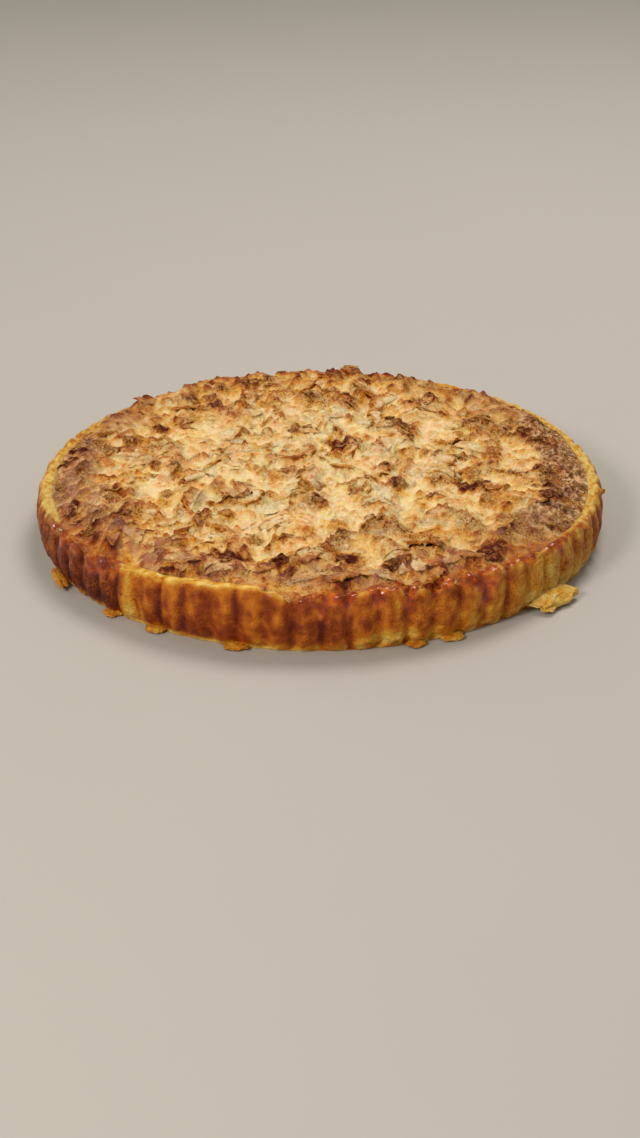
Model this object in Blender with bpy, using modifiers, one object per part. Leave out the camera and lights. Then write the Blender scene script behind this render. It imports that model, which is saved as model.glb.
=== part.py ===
"""An apple tart: a fluted pastry case 250 mm across, filled with custard and thin apple slices.

Metres, +Z up. The origin is the middle of the underside, and -Y is the front. The tart is two
solids: the pastry case, a shallow fluted dish of baked pastry, and the filling that fills it to
the rim. The apple slices that break through the custard are fused to the filling, and the flakes
and drips of pastry round the foot are fused to the case.
"""

import math
import random

import bmesh
import bpy
from mathutils import Matrix, Vector

MM = 0.001
TAU = 2 * math.pi
GAP = 0.3 * MM                      # kept between the case and the filling

# The pastry case
FOOT_RADIUS = 120.6 * MM            # where the wall meets the underside
WIDEST_RADIUS = 124.3 * MM          # the belly of the wall, at mid height
CREST_RADIUS = 120.2 * MM           # top of the rounded rim
RIM_HEIGHT = 25.3 * MM              # the mean height of the crest
WALL = 4.6 * MM                     # thickness of the rim
FLOOR = 4.0 * MM
INNER_RADIUS = CREST_RADIUS - WALL / 2 - 0.4 * MM   # the wall's inner face, near its top
FLUTES = 68                         # ribs round the wall, 11.5 mm apart
FLUTE_DEPTH = 1.5 * MM
COLUMNS_PER_FLUTE = 4
FIRST_VALLEY = -TAU / 4             # a valley between two ribs faces the front

# How high the crest stands round the rim: degrees from +X, and millimetres above the mean
RIM_LIFTS = ((-180, -1.6), (-152, -2.6), (-134, -2.2), (-122, -0.4), (-113, 1.2), (-102, 2.1),
             (-93, -1.1), (-86, 0.0), (-79, 1.0), (-72, -0.8), (-58, 0.3), (-44, -1.2),
             (-20, -2.0), (6, -1.2), (40, 0.2), (75, 1.0), (110, 0.4), (150, -0.6), (180, -1.6))

FLAKE_ROUGHNESS = 0.14              # how far a flake's points stray, as a share of its size
FLAKE_CLEARANCE = 0.02 * MM         # so that the case's own underside stays the lowest face

# The filling
FILLING_COLUMNS = 68
FILLING_RINGS = 8
DOME_HEIGHT = 28.6 * MM             # bare custard in the middle
SHOULDER_HEIGHT = 26.8 * MM         # bare custard near the rim
SHOULDER_RADIUS = 106 * MM
LUMPS = 7                           # waves that make the custard uneven
LUMP_HEIGHT = 0.42 * MM

WAVE_LENGTH = (24 * MM, 46 * MM)

# The apple slices that stand out of the custard
SLICES = 100
SLICE_FIELD = 113 * MM              # radius that the slices' places cover
SLICE_EDGE = INNER_RADIUS - 1.4 * MM    # no slice reaches past this, unless it spills
SLICE_SHIFT = 3 * MM                # how far a slice strays from its place on the spiral
SLICE_LENGTH = (14 * MM, 25 * MM)
SLICE_WIDTH = (6.5 * MM, 10.5 * MM)
SLICE_THICKNESS = (1.9 * MM, 2.8 * MM)
SLICE_TILT = (8, 40)                # degrees that the rounded edge is lifted
SLICE_CURL = (-0.010 / MM, 0.016 / MM)  # rise of the ends, over the square of the distance
SLICE_SINK = (0.4 * MM, 1.6 * MM)   # depth of the straight edge under the custard
SLICE_SIDES = 6
HIGHEST_TIP = 35.0 * MM
SPILL_FROM, SPILL_TO = -95, -50     # degrees: at the front right the filling lies over the rim
SPILL_REACH = 5.0 * MM              # how far a slice there may pass the custard's edge
SPILL_LUMPS = 6
SPILL_LENGTH = (13 * MM, 21 * MM)   # along the rim
SPILL_WIDTH = (8.5 * MM, 11 * MM)   # across it
SPILL_THICKNESS = 3.8 * MM
GOLDEN_ANGLE = math.radians(137.508)

PASTRY_COLOUR = (0.45, 0.20, 0.045, 1)
FILLING_COLOUR = (0.62, 0.36, 0.12, 1)


def smooth_step(low, high, value):
    """0 below low, 1 above high, and an easy slope between."""
    t = min(1.0, max(0.0, (value - low) / (high - low)))
    return t * t * (3 - 2 * t)


def rim_height(angle):
    """Height of the rim's crest at an angle, eased from one of RIM_LIFTS to the next."""
    degrees = (math.degrees(angle) + 180) % 360 - 180
    for (start, low), (end, high) in zip(RIM_LIFTS, RIM_LIFTS[1:]):
        if degrees <= end:
            return RIM_HEIGHT + (low + (high - low) * smooth_step(start, end, degrees)) * MM
    return RIM_HEIGHT + RIM_LIFTS[-1][1] * MM


def wander(angle):
    """How far the whole wall leans out or in at an angle: the case isn't a true circle."""
    return (0.28 * math.cos(2 * angle + 0.7) + 0.22 * math.cos(5 * angle + 2.1)) * MM


def flute_valley(angle):
    """1 in the valley between two ribs and 0 on a rib's crown, with a narrow valley."""
    phase = (angle - FIRST_VALLEY) * FLUTES
    return (0.5 + 0.5 * math.cos(phase)) ** 2.2


def custard_height(x, y, waves):
    """Top of the bare custard: a low dome that comes down to the rim, with soft lumps."""
    radius = math.hypot(x, y)
    dome = DOME_HEIGHT + (SHOULDER_HEIGHT - DOME_HEIGHT) * (radius / SHOULDER_RADIUS) ** 2
    edge = rim_height(math.atan2(y, x)) - 0.4 * MM
    blend = smooth_step(SHOULDER_RADIUS, INNER_RADIUS, radius)
    lumps = sum(math.cos(kx * x + ky * y + start) for kx, ky, start in waves)
    return dome + (edge - dome) * blend + LUMP_HEIGHT * lumps * (1 - blend)


def custard_waves():
    """The seeded waves behind the custard's lumps: each a wave number in X and Y, and a start."""
    draw = random.Random(11)
    waves = []
    for _ in range(LUMPS):
        number = TAU / draw.uniform(*WAVE_LENGTH)
        heading = draw.uniform(0, TAU)
        waves.append((number * math.cos(heading), number * math.sin(heading), draw.uniform(0, TAU)))
    return waves


def lay_slices():
    """Every apple slice: its place, size and pose, spread evenly over the tart on a spiral."""
    draw = random.Random(29)
    slices = []
    for index in range(SLICES):
        radius = SLICE_FIELD * math.sqrt((index + 0.5) / SLICES)
        angle = index * GOLDEN_ANGLE
        slices.append({
            "x": radius * math.cos(angle) + draw.uniform(-SLICE_SHIFT, SLICE_SHIFT),
            "y": radius * math.sin(angle) + draw.uniform(-SLICE_SHIFT, SLICE_SHIFT),
            "length": draw.uniform(*SLICE_LENGTH),
            "width": draw.uniform(*SLICE_WIDTH),
            "thickness": draw.uniform(*SLICE_THICKNESS),
            "turn": draw.uniform(0, TAU),
            "tilt": math.radians(draw.uniform(*SLICE_TILT)),
            "curl": draw.uniform(*SLICE_CURL),
            "sink": draw.uniform(*SLICE_SINK),
        })
    return slices


def clear_scene():
    for obj in list(bpy.data.objects):
        bpy.data.objects.remove(obj, do_unlink=True)


def new_collection(name):
    collection = bpy.data.collections.new(name)
    bpy.context.scene.collection.children.link(collection)
    return collection


def new_material(name, colour, roughness):
    material = bpy.data.materials.new(name)
    material.use_nodes = True
    shader = material.node_tree.nodes["Principled BSDF"]
    shader.inputs["Base Color"].default_value = colour
    shader.inputs["Roughness"].default_value = roughness
    shader.inputs["Metallic"].default_value = 0.0
    material.diffuse_color = colour
    return material


def turned_mesh(name, profile, columns):
    """The mesh of a profile of (radius, height) points turned once round the Z axis."""
    mesh = bpy.data.meshes.new(name)
    points = [(radius, 0.0, height) for radius, height in profile]
    mesh.from_pydata(points, [(i, i + 1) for i in range(len(points) - 1)], [])
    obj = bpy.data.objects.new(name, mesh)
    bpy.context.scene.collection.objects.link(obj)
    screw = obj.modifiers.new("turn", "SCREW")
    screw.steps = screw.render_steps = columns
    screw.use_merge_vertices = True
    screw.merge_threshold = 0.01 * MM
    turned = evaluated_mesh(obj)
    bpy.data.objects.remove(obj, do_unlink=True)
    return turned


def evaluated_mesh(obj):
    graph = bpy.context.evaluated_depsgraph_get()
    return bpy.data.meshes.new_from_object(obj.evaluated_get(graph))


def case_profile():
    """Half the case's section, from the middle of its floor over the rim and down the wall."""
    return [
        (0, FLOOR),
        (INNER_RADIUS - 1.4 * MM, FLOOR),
        (INNER_RADIUS, RIM_HEIGHT - 3.2 * MM),
        (INNER_RADIUS + 1.0 * MM, RIM_HEIGHT - 0.7 * MM),
        (CREST_RADIUS, RIM_HEIGHT),
        (CREST_RADIUS + 1.9 * MM, RIM_HEIGHT - 0.9 * MM),
        (WIDEST_RADIUS - 0.9 * MM, RIM_HEIGHT - 4.2 * MM),
        (WIDEST_RADIUS, 13.0 * MM),
        (WIDEST_RADIUS - 0.9 * MM, 5.0 * MM),
        (FOOT_RADIUS + 0.9 * MM, 1.0 * MM),
        (FOOT_RADIUS, 0),
        (0, 0),
    ]


def shape_case(mesh):
    """Press the flutes into the turned wall, and make its rim uneven."""
    for vertex in mesh.vertices:
        radius = math.hypot(vertex.co.x, vertex.co.y)
        if radius < INNER_RADIUS / 2:
            continue
        angle = math.atan2(vertex.co.y, vertex.co.x)
        height = vertex.co.z
        reach = radius + wander(angle)
        if radius > CREST_RADIUS + GAP:
            fade = 1 - 0.45 * smooth_step(RIM_HEIGHT - 6 * MM, RIM_HEIGHT, height)
            reach -= FLUTE_DEPTH * flute_valley(angle) * fade
        lift = rim_height(angle) - RIM_HEIGHT
        vertex.co.z = height + lift * smooth_step(FLOOR, RIM_HEIGHT, height)
        vertex.co.x = reach * math.cos(angle)
        vertex.co.y = reach * math.sin(angle)


def pastry_flake(name, collection, angle, reach, length, width, thickness, height, turn=0, droop=0):
    """A lump or flake of pastry at the wall: a flattened ball, its middle at reach from the axis."""
    mesh = bpy.data.meshes.new(name)
    ball = bmesh.new()
    bmesh.ops.create_icosphere(ball, subdivisions=2, radius=0.5)
    draw = random.Random(name)
    for vertex in ball.verts:
        vertex.co *= 1 + draw.uniform(-FLAKE_ROUGHNESS, FLAKE_ROUGHNESS)
        vertex.co.z -= droop * vertex.co.x
    bearing = math.radians(angle)
    place = Matrix.Translation((reach * math.cos(bearing), reach * math.sin(bearing), height))
    pose = Matrix.Rotation(bearing + math.radians(turn), 4, "Z")
    ball.transform(place @ pose @ Matrix.Diagonal((width, length, thickness, 1)))
    for vertex in ball.verts:
        vertex.co.z = max(vertex.co.z, FLAKE_CLEARANCE)
    ball.to_mesh(mesh)
    ball.free()
    collection.objects.link(bpy.data.objects.new(name, mesh))


def add_flakes(collection):
    """The torn flap, the loose strip, the drips and the crumbs that baked on round the foot."""
    at = {"collection": collection}
    pastry_flake("flap", angle=-41, reach=126.0 * MM, length=21 * MM, width=9.5 * MM,
                 thickness=6 * MM, height=3.6 * MM, turn=-6, droop=0.35, **at)
    pastry_flake("flap_tip", angle=-44, reach=128.6 * MM, length=9 * MM, width=5 * MM,
                 thickness=3.6 * MM, height=2.0 * MM, turn=12, **at)
    pastry_flake("strip", angle=-152, reach=123.6 * MM, length=17 * MM, width=5 * MM,
                 thickness=3.0 * MM, height=2.2 * MM, turn=-9, **at)
    for index, (angle, length) in enumerate(((-134, 8), (-123, 8), (-106, 11), (-72.5, 8), (-65, 11))):
        pastry_flake(f"drip_{index}", angle=angle, reach=121.8 * MM, length=length * MM,
                     width=7.0 * MM, thickness=3.4 * MM, height=1.0 * MM, turn=8 * (index % 3 - 1), **at)
    pastry_flake("nub", angle=-4, reach=122.8 * MM, length=5.5 * MM, width=5.0 * MM,
                 thickness=4.4 * MM, height=17.5 * MM, **at)


def slice_blank(apple):
    """A flat half-moon of apple: rounded skin edge at +Y, its straight back edge on the X axis."""
    blank = bmesh.new()
    rim = []
    for side in range(SLICE_SIDES - 1):
        sweep = math.pi * side / (SLICE_SIDES - 2)
        rim.append(blank.verts.new((0.5 * apple["length"] * math.cos(sweep),
                                    apple["width"] * math.sin(sweep), 0)))
    rim.append(blank.verts.new((0, 0.12 * apple["width"], 0)))
    face = blank.faces.new(rim)
    raised = bmesh.ops.extrude_face_region(blank, geom=[face])
    for item in raised["geom"]:
        if isinstance(item, bmesh.types.BMVert):
            item.co.z += apple["thickness"]
    bmesh.ops.recalc_face_normals(blank, faces=blank.faces)
    return blank


def overshoot(blank):
    """How far the slice's outermost point stands past the edge that slices keep to."""
    return max(math.hypot(vertex.co.x, vertex.co.y) for vertex in blank.verts) - SLICE_EDGE


def lift_over_rim(blank):
    """Raise the outer end of a slice that spills over the rim, so that it lies on the crest."""
    needed = 0
    for vertex in blank.verts:
        if math.hypot(vertex.co.x, vertex.co.y) > SLICE_EDGE:
            crest = rim_height(math.atan2(vertex.co.y, vertex.co.x))
            needed = max(needed, crest + 2 * GAP - vertex.co.z)
    for vertex in blank.verts:
        radius = math.hypot(vertex.co.x, vertex.co.y)
        vertex.co.z += needed * smooth_step(SLICE_EDGE - 9 * MM, SLICE_EDGE, radius)


def apple_slice(index, apple, waves, collection):
    """One slice as a solid: curled, tilted with its skin edge up, and sunk into the custard."""
    blank = slice_blank(apple)
    angle = math.atan2(apple["y"], apple["x"])
    middle = custard_height(apple["x"], apple["y"], waves)
    place = Matrix.Translation((apple["x"], apple["y"], middle - apple["sink"]))
    pose = Matrix.Rotation(apple["turn"], 4, "Z") @ Matrix.Rotation(apple["tilt"], 4, "X")
    for vertex in blank.verts:
        vertex.co.z += apple["curl"] * vertex.co.x ** 2
    blank.transform(place @ pose)
    spills = SPILL_FROM < math.degrees(angle) < SPILL_TO
    past = overshoot(blank) - (SPILL_REACH if spills else 0)
    if past > 0:
        inward = Vector((-past * math.cos(angle), -past * math.sin(angle), 0))
        blank.transform(Matrix.Translation(inward))
    if spills:
        lift_over_rim(blank)
    above = max(vertex.co.z for vertex in blank.verts) - HIGHEST_TIP
    if above > 0:
        blank.transform(Matrix.Translation((0, 0, -above)))
    mesh = bpy.data.meshes.new(f"slice_{index}")
    blank.to_mesh(mesh)
    blank.free()
    collection.objects.link(bpy.data.objects.new(f"slice_{index}", mesh))


def spill_lump(index, draw, collection):
    """A flat lump of custard that baked over the rim, just clear of the crest it lies on."""
    angle = math.radians(SPILL_FROM + (SPILL_TO - SPILL_FROM) * (index + 0.5) / SPILL_LUMPS)
    length, width = draw.uniform(*SPILL_LENGTH), draw.uniform(*SPILL_WIDTH)
    middle = CREST_RADIUS + 1.4 * MM - width / 2
    half_turn = length / 2 / CREST_RADIUS
    crest = max(rim_height(angle + half_turn * side) for side in (-1, -0.5, 0, 0.5, 1))
    ball = bmesh.new()
    bmesh.ops.create_icosphere(ball, subdivisions=2, radius=0.5)
    place = Matrix.Translation((middle * math.cos(angle), middle * math.sin(angle), crest + 0.2 * MM))
    size = Matrix.Diagonal((width, length, SPILL_THICKNESS, 1))
    ball.transform(place @ Matrix.Rotation(angle, 4, "Z") @ size)
    for vertex in ball.verts:
        if math.hypot(vertex.co.x, vertex.co.y) > SLICE_EDGE - 1.2 * MM:
            vertex.co.z = max(vertex.co.z, crest + 2 * GAP)
    mesh = bpy.data.meshes.new(f"spill_{index}")
    ball.to_mesh(mesh)
    ball.free()
    collection.objects.link(bpy.data.objects.new(f"spill_{index}", mesh))


def filling_profile():
    """Half the filling's section, from the top of the dome out to the wall and back underneath."""
    wall = INNER_RADIUS - GAP
    edge = wall - 0.4 * MM
    rings = [edge * (ring / FILLING_RINGS) ** 0.8 for ring in range(FILLING_RINGS + 1)]
    profile = [(radius, DOME_HEIGHT) for radius in rings]
    profile.append((wall - 0.1 * MM, RIM_HEIGHT - 3.4 * MM))
    profile.append((wall - 1.5 * MM, FLOOR + GAP))
    profile.append((0, FLOOR + GAP))
    return profile


def shape_filling(mesh, waves):
    """Set the top of the turned filling to the custard's height, and its edge to the case."""
    for vertex in mesh.vertices:
        x, y, z = vertex.co
        radius = math.hypot(x, y)
        angle = math.atan2(y, x)
        if z > DOME_HEIGHT - 0.1 * MM:
            vertex.co.z = custard_height(x, y, waves)
        elif z > FLOOR + 2 * GAP:
            lift = rim_height(angle) - RIM_HEIGHT
            vertex.co.z = z + lift * smooth_step(FLOOR, RIM_HEIGHT, z)
        if radius > SLICE_EDGE - WALL:
            scale = 1 + wander(angle) / radius
            vertex.co.x *= scale
            vertex.co.y *= scale


def triangulate(mesh):
    """Split every bent face into triangles, so that fusing meets only flat ones."""
    whole = bmesh.new()
    whole.from_mesh(mesh)
    bmesh.ops.triangulate(whole, faces=whole.faces)
    whole.to_mesh(mesh)
    whole.free()


def fuse(obj, pieces):
    """Join a collection of pieces to an object with one Boolean union, and remove the pieces."""
    for piece in [obj, *pieces.objects]:
        triangulate(piece.data)
    union = obj.modifiers.new("fuse", "BOOLEAN")
    union.operation = "UNION"
    union.operand_type = "COLLECTION"
    union.collection = pieces
    union.solver = "EXACT"
    fused = evaluated_mesh(obj)
    obj.modifiers.remove(union)
    for piece in list(pieces.objects):
        bpy.data.objects.remove(piece, do_unlink=True)
    bpy.data.collections.remove(pieces)
    obj.data = keep_outer_skin(fused)


def keep_outer_skin(mesh):
    """Drop every loose scrap and sealed bubble that fusing left, so one closed skin remains."""
    whole = bmesh.new()
    whole.from_mesh(mesh)
    unseen = set(whole.faces)
    islands = []
    while unseen:
        front = [unseen.pop()]
        island = []
        while front:
            face = front.pop()
            island.append(face)
            beside = {other for edge in face.edges for other in edge.link_faces} & unseen
            unseen -= beside
            front.extend(beside)
        islands.append(island)
    islands.sort(key=len)
    for island in islands[:-1]:
        bmesh.ops.delete(whole, geom=island, context="FACES")
    whole.to_mesh(mesh)
    whole.free()
    return mesh


def finish_object(name, mesh, material, collection):
    obj = bpy.data.objects.new(name, mesh)
    mesh.name = name
    mesh.materials.append(material)
    collection.objects.link(obj)
    return obj


def make_pastry_case(tart):
    mesh = turned_mesh("pastry_case", case_profile(), FLUTES * COLUMNS_PER_FLUTE)
    shape_case(mesh)
    pastry = new_material("pastry", PASTRY_COLOUR, 0.5)
    case = finish_object("pastry_case", mesh, pastry, tart)
    flakes = new_collection("flakes")
    add_flakes(flakes)
    fuse(case, flakes)
    case.data.shade_smooth()
    return case


def make_apple_filling(tart):
    waves = custard_waves()
    mesh = turned_mesh("apple_filling", filling_profile(), FILLING_COLUMNS)
    shape_filling(mesh, waves)
    custard = new_material("custard", FILLING_COLOUR, 0.45)
    filling = finish_object("apple_filling", mesh, custard, tart)
    slices = new_collection("slices")
    for index, apple in enumerate(lay_slices()):
        apple_slice(index, apple, waves, slices)
    draw = random.Random(7)
    for index in range(SPILL_LUMPS):
        spill_lump(index, draw, slices)
    fuse(filling, slices)
    filling.data.shade_smooth()
    filling.data.set_sharp_from_angle(angle=math.radians(35))
    return filling


def main():
    clear_scene()
    tart = new_collection("apple_tart")
    for piece in (make_pastry_case(tart), make_apple_filling(tart)):
        piece.data.calc_loop_triangles()
        print(piece.name, len(piece.data.loop_triangles), "triangles")


main()
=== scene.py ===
# %% [markdown]
# # An apple tart
# This lesson dresses the two solids of an apple tart: a shallow fluted case of shortcrust pastry, and
# the custard and thin apple slices that fill it to the rim. The solids say where everything is. Here
# they get what an oven gives them: browned crests, pale hollows, burnt tips, crumb and glaze.
#
# The frame is loaded first, and the dressed tart is kept inside the box of its solids.

# %% Load the frame
import math
import random

import bpy
import numpy as np
from mathutils import Euler, Matrix


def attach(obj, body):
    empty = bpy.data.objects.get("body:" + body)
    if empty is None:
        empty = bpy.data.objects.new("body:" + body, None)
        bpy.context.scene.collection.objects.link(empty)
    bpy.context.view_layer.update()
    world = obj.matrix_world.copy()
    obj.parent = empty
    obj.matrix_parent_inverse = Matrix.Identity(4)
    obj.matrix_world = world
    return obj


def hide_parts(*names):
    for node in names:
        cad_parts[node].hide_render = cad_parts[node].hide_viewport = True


MM = 0.001
TAU = 2 * math.pi
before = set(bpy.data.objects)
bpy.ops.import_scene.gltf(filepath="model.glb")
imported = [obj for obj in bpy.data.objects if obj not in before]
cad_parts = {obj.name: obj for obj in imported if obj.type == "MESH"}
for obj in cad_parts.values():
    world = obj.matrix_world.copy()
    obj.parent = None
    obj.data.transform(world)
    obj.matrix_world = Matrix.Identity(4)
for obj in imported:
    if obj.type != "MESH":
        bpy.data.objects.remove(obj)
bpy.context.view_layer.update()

# %% [markdown]
# Sizes come next, in millimetres, because a baker thinks in them. `make_piece` turns them into
# metres at the very end. The case's sizes, the height of its rim round the edge, and the custard's
# dome are the same as the solids', so that every new surface lies on the old one.

# %% Sizes of the case and the custard
FOOT_RADIUS = 120.6
WIDEST_RADIUS = 124.3
CREST_RADIUS = 120.2
RIM_HEIGHT = 25.3
FLOOR = 4.0
INNER_RADIUS = 117.5
FLUTES = 68
FLUTE_DEPTH = 1.5
FIRST_VALLEY = -TAU / 4

# How far the rim stands above or below its height, by degrees from +X
RIM_LIFTS = ((-180, -1.6), (-152, -2.6), (-134, -2.2), (-122, -0.4), (-113, 1.2), (-102, 2.1),
             (-93, -1.1), (-86, 0.0), (-79, 1.0), (-72, -0.8), (-58, 0.3), (-44, -1.2),
             (-20, -2.0), (6, -1.2), (40, 0.2), (75, 1.0), (110, 0.4), (150, -0.6), (180, -1.6))

DOME_HEIGHT = 28.6
SHOULDER_HEIGHT = 26.8
SHOULDER_RADIUS = 106
HIGHEST_TIP = 34.9

# How much the custard puffed up into foam near the wall, by degrees from +X
FOAM_ROUND = ((-180, 0.75), (-168, 0.6), (-150, 0.3), (-140, 0.0), (-60, 0.0), (-40, 0.35), (-28, 0.9),
              (20, 1.0), (40, 0.4), (55, 0.1), (130, 0.1), (158, 0.4), (170, 0.9), (180, 0.75))

# The stretch where slices spill over the rim, in degrees
SPILL_FROM, SPILL_TO = -95, -50
print(FLUTES, "flutes,", round(TAU * WIDEST_RADIUS / FLUTES, 1), "mm apart")

# %% [markdown]
# Nothing baked is smooth or even, so a few helpers are used all over this file. `ease` is a slope
# with soft ends. `eased_table` reads a short list of places and values, easing from one to the next.
# `hills` is gradient noise: random soft hills of a chosen size; `crags` and `folds` are made from it.
# Drawing the noise here, and not with a texture, lets it move the surface itself, so it shows in the
# outline and in the exported mesh.

# %% Slopes and noise
NOISE_CELLS = 256


def ease(low, high, value):
    """0 below low, 1 above high, and an easy slope between."""
    share = np.clip((value - low) / (high - low), 0, 1)
    return share * share * (3 - 2 * share)


def mix(first, second, share):
    """From first to second: share 0 gives the first, and share 1 the second."""
    return first + (second - first) * share


def eased_table(table, angle):
    """A value that changes round the tart: table lists degrees from +X and the value there."""
    degrees = (np.degrees(angle) + 180) % 360 - 180
    places, values = np.array(table, float).T
    after = np.clip(np.searchsorted(places, degrees), 1, len(places) - 1)
    share = ease(places[after - 1], places[after], degrees)
    return mix(values[after - 1], values[after], share)


def hills(x, y, size, seed):
    """Random soft hills and hollows, about -1 to 1, one hill to each size millimetres."""
    headings = np.random.default_rng(seed).uniform(0, TAU, (NOISE_CELLS, NOISE_CELLS))
    x, y = np.asarray(x) / size, np.asarray(y) / size
    column, row = np.floor(x).astype(int), np.floor(y).astype(int)
    across, along = x - column, y - row

    def corner(i, j):
        heading = headings[(column + i) % NOISE_CELLS, (row + j) % NOISE_CELLS]
        return np.cos(heading) * (across - i) + np.sin(heading) * (along - j)

    share_x, share_y = (part ** 3 * (part * (6 * part - 15) + 10) for part in (across, along))
    near = mix(corner(0, 0), corner(1, 0), share_x)
    far = mix(corner(0, 1), corner(1, 1), share_x)
    return 1.5 * mix(near, far, share_y)


def crags(x, y, size, seed, layers=3):
    """Hills with smaller hills on them, each layer half as wide and half as high."""
    return sum(hills(x, y, size / 2 ** n, seed + n) / 2 ** n for n in range(layers))


def folds(x, y, size, seed):
    """Thin raised folds, 1 on a fold's crest and near 0 in the flats between."""
    return 1 - np.minimum(1, 1.8 * np.abs(hills(x, y, size, seed)))


print("noise from", hills(np.arange(999), 0, 7.3, 1).min().round(2),
      "to", hills(np.arange(999), 0, 7.3, 1).max().round(2))

# %% [markdown]
# The rim isn't level and the case isn't a true circle: a tin is lined by hand. The first three
# functions are the ones that shaped the solid. `wall_hills` lays noise along the wall as if it were
# unrolled flat, so that it doesn't stretch.

# %% The rim and its flutes
WALL_TO_A_RADIAN = 120


def rim_height(angle):
    """Height of the rim's crest above the table."""
    return RIM_HEIGHT + eased_table(RIM_LIFTS, angle)


def wander(angle):
    """How far the whole wall leans out or in at an angle."""
    return 0.28 * np.cos(2 * angle + 0.7) + 0.22 * np.cos(5 * angle + 2.1)


def flute_valley(angle):
    """1 in the narrow valley between two ribs and 0 on a rib's crown."""
    return (0.5 + 0.5 * np.cos((angle - FIRST_VALLEY) * FLUTES)) ** 2.2


def wall_hills(angle, across, size, seed):
    """Hills along the wall, with millimetres across it, such as a depth or a radius."""
    return hills(angle * WALL_TO_A_RADIAN, across, size, seed)


rim_round = rim_height(np.linspace(-math.pi, math.pi, 360))
print("rim from", rim_round.min().round(1), "to", rim_round.max().round(1), "mm high")

# %% [markdown]
# The top of the tart is worked out on a square sheet, one number for each half millimetre, much as
# a picture has pixels. On such a sheet it is easy to lay one thing over another, to blur, and to
# find what stands higher than its surroundings, and that is how an oven chooses what to brown.

# %% The sheet
SHEET_STEP = 0.5
SHEET_EDGE = 130.0
sheet_axis = np.arange(-SHEET_EDGE, SHEET_EDGE + SHEET_STEP / 2, SHEET_STEP)
sheet_x, sheet_y = np.meshgrid(sheet_axis, sheet_axis, indexing="ij")
sheet_radius = np.hypot(sheet_x, sheet_y)
sheet_angle = np.arctan2(sheet_y, sheet_x)
NOTHING_THERE = -99


def soften(field, width):
    """Blur a field on the sheet with a soft round brush."""
    waves = np.fft.fftfreq(len(sheet_axis), SHEET_STEP)
    fade = np.exp(-2 * (np.pi * waves * width) ** 2)
    return np.fft.ifft2(np.fft.fft2(field) * np.outer(fade, fade)).real


def read_sheet(field, x, y):
    """The field's value at any points, eased between the sheet's own."""
    column = np.clip((np.asarray(x) + SHEET_EDGE) / SHEET_STEP, 0, len(sheet_axis) - 1.001)
    row = np.clip((np.asarray(y) + SHEET_EDGE) / SHEET_STEP, 0, len(sheet_axis) - 1.001)
    i, j = column.astype(int), row.astype(int)
    near = mix(field[i, j], field[i + 1, j], column - i)
    far = mix(field[i, j + 1], field[i + 1, j + 1], column - i)
    return mix(near, far, row - j)


def lay_over(lower, upper, softness):
    """The higher of two surfaces, with a soft fillet of custard where they meet."""
    share = np.clip(0.5 + 0.5 * (upper - lower) / softness, 0, 1)
    return mix(lower, upper, share) + softness * share * (1 - share)


def sheet_window(x, y, reach):
    """The square part of the sheet within reach of a place."""
    low_x, low_y = (int((place - reach + SHEET_EDGE) / SHEET_STEP) for place in (x, y))
    side = int(2 * reach / SHEET_STEP)
    return slice(max(0, low_x), low_x + side), slice(max(0, low_y), low_y + side)


print("sheet:", sheet_x.shape)

# %% [markdown]
# Bare custard is a low dome that comes down to the rim, with seven long waves in it. The waves are
# drawn from the same seed as the solid's, in the same order, so the two tops agree.

# %% Bare custard
WAVES = 7
WAVE_HEIGHT = 0.42
WAVE_LENGTH = (24, 46)


def custard_waves():
    """The waves that the solid has: how fast each rises along x and y, and where it starts."""
    draw = random.Random(11)
    waves = []
    for _ in range(WAVES):
        number = TAU / draw.uniform(*WAVE_LENGTH)
        heading = draw.uniform(0, TAU)
        waves.append((number * math.cos(heading), number * math.sin(heading), draw.uniform(0, TAU)))
    return waves


def bare_custard(x, y):
    """Height of the filling before slices, folds and foam are laid on it."""
    radius = np.hypot(x, y)
    dome = DOME_HEIGHT + (SHOULDER_HEIGHT - DOME_HEIGHT) * (radius / SHOULDER_RADIUS) ** 2
    edge = rim_height(np.arctan2(y, x)) - 0.4
    blend = ease(SHOULDER_RADIUS, INNER_RADIUS, radius)
    lumps = sum(np.cos(kx * x + ky * y + start) for kx, ky, start in custard_waves())
    return dome + (edge - dome) * blend + WAVE_HEIGHT * lumps * (1 - blend)


dome = bare_custard(sheet_x, sheet_y)
print("bare custard stands", dome[sheet_radius < INNER_RADIUS].min().round(1), "to",
      dome[sheet_radius < INNER_RADIUS].max().round(1), "mm high")

# %% [markdown]
# Apple slices could be scattered by chance, but chance leaves bald spots. A sunflower spiral, each
# slice a golden angle on from the last, covers a disc evenly, and a small random shift hides the
# spiral. The first hundred slices are the solid's own. The rest are smaller: slivers and broken bits
# that fill the gaps between.

# %% Lay the slices
GOLDEN_ANGLE = math.radians(137.508)
LARGE_SLICES = {"count": 100, "seed": 29, "field": 113, "shift": 3, "length": (14, 25),
                "width": (6.5, 10.5), "thickness": (1.9, 2.8), "tilt": (8, 40),
                "curl": (-0.010, 0.016), "sink": (0.4, 1.6)}
SLIVERS = {"count": 400, "seed": 53, "field": 114.5, "shift": 4, "length": (4.0, 9.5),
           "width": (2.8, 6.5), "thickness": (0.4, 0.8), "tilt": (2, 34),
           "curl": (-0.05, 0.03), "sink": (0.3, 1.4)}
CRUMBLES = {"count": 900, "seed": 77, "field": 115.5, "shift": 4, "length": (2.4, 6.0),
            "width": (1.6, 3.8), "thickness": (0.8, 2.0), "tilt": (-20, 45),
            "curl": (-0.05, 0.05), "sink": (0.0, 0.9)}


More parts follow.
